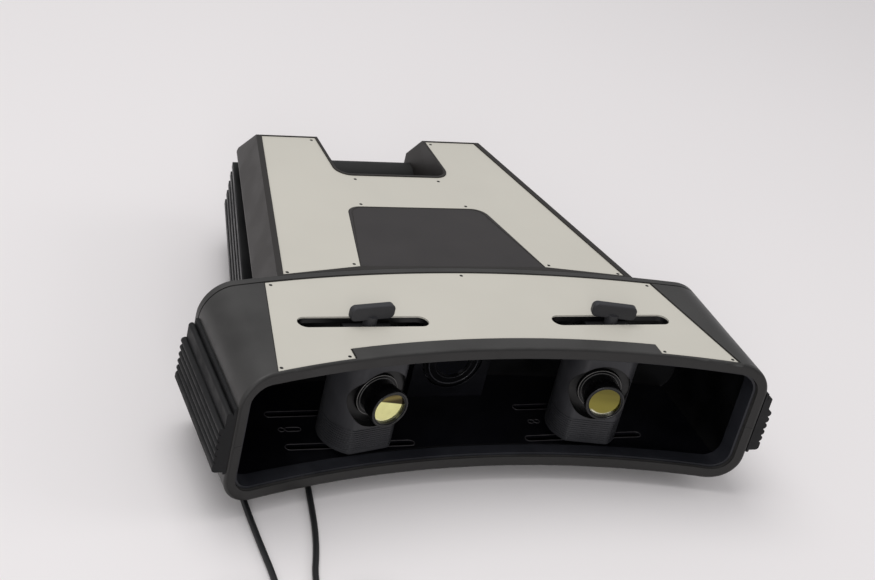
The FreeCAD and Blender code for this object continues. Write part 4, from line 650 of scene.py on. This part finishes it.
# Each rubber: its black and its bloom, scale of the grain, nodes.
rubberFacts = {
    "gripRubber": {"tones": ((26, 26, 27), (38, 38, 39)), "grainScale": 1400.0,
                   "nodes": ("side_grip_left", "side_grip_right")},
    "handleSleeve": {"tones": ((38, 38, 38), (50, 50, 49)), "grainScale": 2200.0, "nodes": ("carry_handle",)},
    "footRubber": {"tones": ((26, 26, 26), (46, 45, 44)), "grainScale": 1100.0, "nodes": ("rubber_feet",)},
}
bloomFacts = {"scale": 45.0, "span": (0.35, 0.75), "share": 0.7, "rough": (0.58, 0.78),
              "relief": (0.3, 0.00015)}


# Black rubber with a dry, paler bloom in patches.
def rubberPaint(name, look, facts):
    paint = Paint(name, {"Specular IOR Level": 0.3})
    place = paint.place()
    bloom = paint.spread(paint.noise(place, facts["scale"], 5.0), *facts["span"])
    dark, pale = (tone(*colour) for colour in look["tones"])
    return paint.feed(Base_Color=paint.blend(bloom * facts["share"], dark, pale),
                      Roughness=paint.spread(bloom, 0.0, 1.0, *facts["rough"]),
                      Normal=paint.relief(paint.noise(place, look["grainScale"], 3.0), *facts["relief"]))


turnedFacts = {"ringScale": 9000.0, "cloudScale": 80.0, "metalDrop": 0.08, "metalRise": 0.05,
               "rough": (0.26, 0.38), "relief": (0.12, 0.00005)}


# Turned and anodised metal: fine rings, a sine of the run along the axis.
def turnedPaint(name, tones, point, direction, metal):
    facts = turnedFacts
    paint = Paint(name, {"Specular IOR Level": 0.5})
    place = paint.place()
    rings = (paint.along(place, point, direction) * facts["ringScale"]).sine() * 0.5 + 0.5
    cloud = paint.cloud(place, facts["cloudScale"])
    metallic = paint.spread(cloud, 0.0, 1.0, metal - facts["metalDrop"], metal + facts["metalRise"])
    return paint.feed(Base_Color=paint.blend(cloud, *(tone(*colour) for colour in tones)), Metallic=metallic,
                      Roughness=paint.spread(rings * 0.5 + cloud * 0.5, 0.0, 1.0, *facts["rough"]),
                      Normal=paint.relief(rings, *facts["relief"]))


alloyFacts = {"cloudScale": 30.0, "strokeScale": 700.0, "shade": 0.82, "metal": (0.96, 0.88),
              "rough": (0.28, 0.42), "relief": (0.15, 0.00006)}


# Bare machined alloy: the base colour and its shade in patches, gloss and relief from fine strokes.
def alloyPaint(name, base):
    facts = alloyFacts
    paint = Paint(name, {"Specular IOR Level": 0.5})
    place = paint.place()
    cloud = paint.cloud(place, facts["cloudScale"])
    strokes = paint.noise(place, facts["strokeScale"], 2.0)
    return paint.feed(Base_Color=paint.blend(cloud, base, scaled(base, facts["shade"])),
                      Metallic=paint.spread(cloud, 0.0, 1.0, *facts["metal"]),
                      Roughness=paint.spread(strokes, 0.2, 0.8, *facts["rough"]),
                      Normal=paint.relief(strokes, *facts["relief"]))


# Filter glass: its own yellow, with a painted reflection in two tones and a painted highlight arc.
filterFacts = {
    "radius": 0.0134, "bandOffset": 0.32, "bandHalf": 0.28, "bandShare": 0.75,
    "mottleScale": 160.0, "mottleShare": 0.3, "arcReach": (0.82, 0.92), "arcHeight": (-0.55, -0.75),
    "highlightArcTone": (250, 248, 226),
    "looks": {"left": {"bright": tone(255, 253, 178), "shade": tone(58, 48, 24), "middle": tone(136, 122, 70),
                       "slant": -0.28, "edge": 0.36, "softness": 0.03, "arc": 0.35},
              "right": {"bright": tone(138, 130, 62), "shade": tone(104, 97, 46), "middle": tone(116, 108, 52),
                        "slant": -0.1, "edge": 0.1, "softness": 0.5, "arc": 0.8}},
}


# Filter glass, its own yellow with a painted reflection: two tones with a straight, slanted edge between
# them, pale below and dark above; the dark part has a paler middle, and a thin painted highlight arc
# follows the low edge.
def filterReflectionPaint(name, look, middle, level, facts):
    paint = Paint(name, {"Roughness": 0.10, "Metallic": 0.85, "Coat Weight": 0.15, "Coat Roughness": 0.03})
    place = paint.place()
    high = paint.along(place, middle, (0.0, 0.0, 1.0)) / facts["radius"]
    wide = paint.along(place, middle, level) / facts["radius"]
    share = paint.spread(high - wide * look["slant"], look["edge"] - look["softness"],
                         look["edge"] + look["softness"])
    offBand = (high - look["edge"] - facts["bandOffset"]).size()
    band = paint.spread(offBand, 0.0, facts["bandHalf"], facts["bandShare"], 0.0)
    mottle = paint.noise(place, facts["mottleScale"], 2.0) * facts["mottleShare"]
    # Painted reflection: pale below the slanted edge, dark above it.
    body = paint.blend(share, paint.blend(mottle, look["bright"], look["middle"]),
                       paint.blend(band, look["shade"], look["middle"]))
    reach = (high * high + wide * wide) ** 0.5
    # Painted highlight: a bright arc along the low edge.
    arc = paint.spread(reach, *facts["arcReach"]) * paint.spread(high, *facts["arcHeight"])
    return paint.feed(Base_Color=paint.blend(arc * look["arc"], body, tone(*facts["highlightArcTone"])))


projectorFacts = {
    "glassRadius": 0.015, "glassTone": (8, 9, 16), "reflectionTone": (26, 30, 138), "rimTone": (10, 11, 18),
    "reflectionMiddle": 0.25, "reflectionSlope": 0.6, "reflectionReach": 0.75, "reflectionShare": 0.8, "rimReach": (0.80, 0.97),
    "lipAhead": 0.0015, "ringCount": 96, "ringGloss": 0.22, "ringLift": 14,
    # radius, half widths across and along, tone
    "rings": {"projectorLipRing": (0.0222, 0.00045, 0.0004, (54, 54, 58)),
              "projectorInnerRing": (0.0168, 0.0003, 0.0003, (34, 34, 38))},
}


# Coated projector glass: nearly black, with a painted deep blue reflection that grows with height and
# falls off to the sides, and a dark rim.
def projectorGlassPaint(middle, facts):
    paint = Paint("projectorGlass", {"Roughness": 0.05, "Coat Weight": 1.0, "Coat Roughness": 0.02})
    place = paint.place()
    high = paint.along(place, middle, (0.0, 0.0, 1.0)) / facts["glassRadius"]
    wide = paint.along(place, middle, (1.0, 0.0, 0.0)) / facts["glassRadius"]
    reach = (high * high + wide * wide) ** 0.5
    # Painted blue reflection on the glass, highest at the top.
    bloom = paint.spread(high - (wide - facts["reflectionMiddle"]).size() * facts["reflectionSlope"],
                         0.0, facts["reflectionReach"])
    rim = paint.spread(reach, *facts["rimReach"])
    body = paint.blend(bloom * facts["reflectionShare"], tone(*facts["glassTone"]), tone(*facts["reflectionTone"]))
    return paint.feed(Base_Color=paint.blend(rim, body, tone(*facts["rimTone"])))


boardFacts = {"cellScale": 260.0, "cellSpan": (0.28, 0.34), "tones": ((30, 92, 52), (18, 60, 36)),
              "rough": (0.30, 0.42)}


# Circuit board: solder mask with traces that follow a cell pattern.
def boardPaint(facts):
    paint = Paint("circuitBoard", {"Specular IOR Level": 0.5})
    traces = paint.spread(paint.cells(paint.place(), facts["cellScale"]), *facts["cellSpan"])
    return paint.feed(Base_Color=paint.blend(traces, *(tone(*colour) for colour in facts["tones"])),
                      Roughness=paint.spread(traces, 0.0, 1.0, *facts["rough"]))


# Connectors and plugs. A tip edge is how far ahead of the middle the metal starts; the connectors show
# none, so theirs lies beyond their end.
plugFacts = {
    "tones": ((24, 24, 26), (36, 36, 38)), "tipTone": (190, 190, 192), "tipMetal": 0.95,
    "rough": (0.52, 0.25), "relief": (0.2, 0.0001), "cloudScale": 70.0, "fineScale": 1700.0,
    "heads": {"powerHead": "power_connector", "dataHead": "data_connector"}, "headEdge": 0.2,
    "plugs": {"power_plug": ("powerRoute", 0.0245), "data_plug": ("dataRoute", 0.0160)},
}


# Plastic grip with a bright metal tip beyond a given place along its axis.
def tippedPaint(name, point, direction, edge, facts):
    paint = Paint(name, {"Specular IOR Level": 0.5})
    place = paint.place()
    tip = paint.along(place, point, direction) > edge
    cloud = paint.noise(place, facts["cloudScale"])
    fine = paint.noise(place, facts["fineScale"])
    grip = paint.blend(cloud, *(tone(*colour) for colour in facts["tones"]))
    return paint.feed(Base_Color=paint.blend(tip, grip, tone(*facts["tipTone"])),
                      Metallic=tip * facts["tipMetal"],
                      Roughness=paint.spread(tip + cloud * 0.2, 0.0, 1.0, *facts["rough"]),
                      Normal=paint.relief(fine, *facts["relief"]))


screwTones, darkRingTones = ((30, 30, 31), (44, 44, 45)), ((18, 18, 20), (28, 28, 31))
plainMetal = 0.6


def dressAll():
    for name, look in mouldedFacts.items():
        dress(mouldedPaint(name, look, finishFacts), *look["nodes"])
    for name, look in rubberFacts.items():
        dress(rubberPaint(name, look, bloomFacts), *look["nodes"])
    dress(hoodPaint(hoodFacts), "hood_upper_shell", "hood_lower_shell")
    dress(platePaint(plateFacts), "hood_top_panel", "body_top_panel")
    dress(finPaint(finFacts), "side_fins_left", "side_fins_right")
    dress(alloyPaint("insertSteel", (0.50, 0.50, 0.50)), "tripod_insert", "data_socket")
    dress(alloyPaint("machinedAlloy", (0.60, 0.60, 0.62)), "projector_body", "projector_heat_sink",
          "camera_body_left", "camera_body_right")
    dress(turnedPaint("blackScrews", screwTones, (0, 0, 0), (0, 0, 1), plainMetal),
          "panel_screws", "base_screws")
    dress(turnedPaint("projectorRings", darkRingTones, (0, 0, 0), (0, 1, 0), plainMetal),
          "projector_lens_barrel", "projector_focus_ring")
    dress(boardPaint(boardFacts), "main_board", "power_board")


def centreOf(name):
    low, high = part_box(name)
    return tuple((a + b) / 2 for a, b in zip(low, high))


lensFacts = {
    "toeIn": 12.0, "ovalCount": 12, "ringLift": 1.3, "barrelTones": ((11, 11, 13), (18, 18, 20)),
    "barrelMetal": 0.35,
    "origins": {"left": (-0.1013, -0.141453, 0.0783), "right": (0.1060, -0.141453, 0.0783)},
    # radius, distance, half widths across and along, gloss, tone
    "rings": {"mouthRing": (0.01545, 0.03930, 0.00100, 0.00055, 0.16, (15, 15, 17)),
              "innerRing": (0.01375, 0.03745, 0.00035, 0.00040, 0.20, (20, 20, 22)),
              # The two base rings' pale tones are partly a painted highlight of their lit edges.
              "baseRingHighlight": (0.01830, 0.01905, 0.00028, 0.00028, 0.14, (120, 118, 116)),
              "flangeRingHighlight": (0.01590, 0.01912, 0.00028, 0.00028, 0.14, (96, 95, 94))},
}


# Rings of an oval profile turned about the lens axis: a broad mouth bead, a thin inner ring and two
# polished edge rings on the base, whose pale tone is partly a painted highlight.
def makeLensRings(side, origin, ahead, facts):
    for name, (radius, distance, across, along, gloss, colour) in facts["rings"].items():
        shade = tone(*colour)
        paint = trimPaint(name + side.capitalize(), shade, scaled(shade, facts["ringLift"]), gloss)
        grid = turnRound(ovalProfile((radius, distance), (across, along), facts["ovalCount"]), origin, ahead)
        putPiece(name + side.capitalize(), grid.reshape(-1, 3), wrapFaces(*grid.shape[:2]),
                 "camera_unit_" + side, paint)


# The projector's two rings sit on its lip, a little ahead of the glass.
def makeProjectorRings(middle, facts):
    lip = (middle[0], middle[1] - facts["lipAhead"], middle[2])
    for name, (radius, across, along, colour) in facts["rings"].items():
        lifted = (value + facts["ringLift"] for value in colour)
        paint = trimPaint(name, tone(*colour), tone(*lifted), facts["ringGloss"])
        profile = ovalProfile((radius, 0.0), (across, along), lensFacts["ovalCount"])
        grid = turnRound(profile, lip, (0.0, -1.0, 0.0), facts["ringCount"])
        putPiece(name, grid.reshape(-1, 3), wrapFaces(*grid.shape[:2]), "scanner", paint)


def dressLenses(facts):
    toeIn = math.radians(facts["toeIn"])
    for side, sign in (("left", 1), ("right", -1)):
        ahead = (sign * math.sin(toeIn), -math.cos(toeIn), 0.0)
        level = (math.cos(toeIn), sign * math.sin(toeIn), 0.0)
        origin = facts["origins"][side]
        dress(turnedPaint("lensMetal_" + side, facts["barrelTones"], origin, ahead, facts["barrelMetal"]),
              "lens_barrel_" + side, "focus_ring_" + side)
        dress(filterReflectionPaint("filterReflection_" + side, filterFacts["looks"][side], centreOf("filter_glass_" + side),
                          level, filterFacts), "filter_glass_" + side)
        dress(podPaint("podPlastic_" + side, origin, ahead, podFacts), "camera_pod_" + side)
        makeLensRings(side, origin, ahead, facts)


# The glass and its rings are placed from the glass solid's own front.
def dressProjector(facts):
    low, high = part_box("projector_glass")
    middle = ((low[0] + high[0]) / 2, low[1], (low[2] + high[2]) / 2)
    dress(projectorGlassPaint(middle, facts), "projector_glass")
    makeProjectorRings(middle, facts)


def dressConnectors(facts):
    for name, node in facts["heads"].items():
        dress(tippedPaint(name, centreOf(node), (0.0, -1.0, 0.0), facts["headEdge"], facts), node)
    for name, (route, edge) in facts["plugs"].items():
        last, before = (np.array(leadFacts[route][index]) for index in (-1, -2))
        heading = (last - before) / np.linalg.norm(last - before)
        dress(tippedPaint(name + "Paint", centreOf(name), tuple(heading), edge, facts), name)


dressAll()
dressLenses(lensFacts)
dressProjector(projectorFacts)
dressConnectors(plugFacts)
print("materials done")
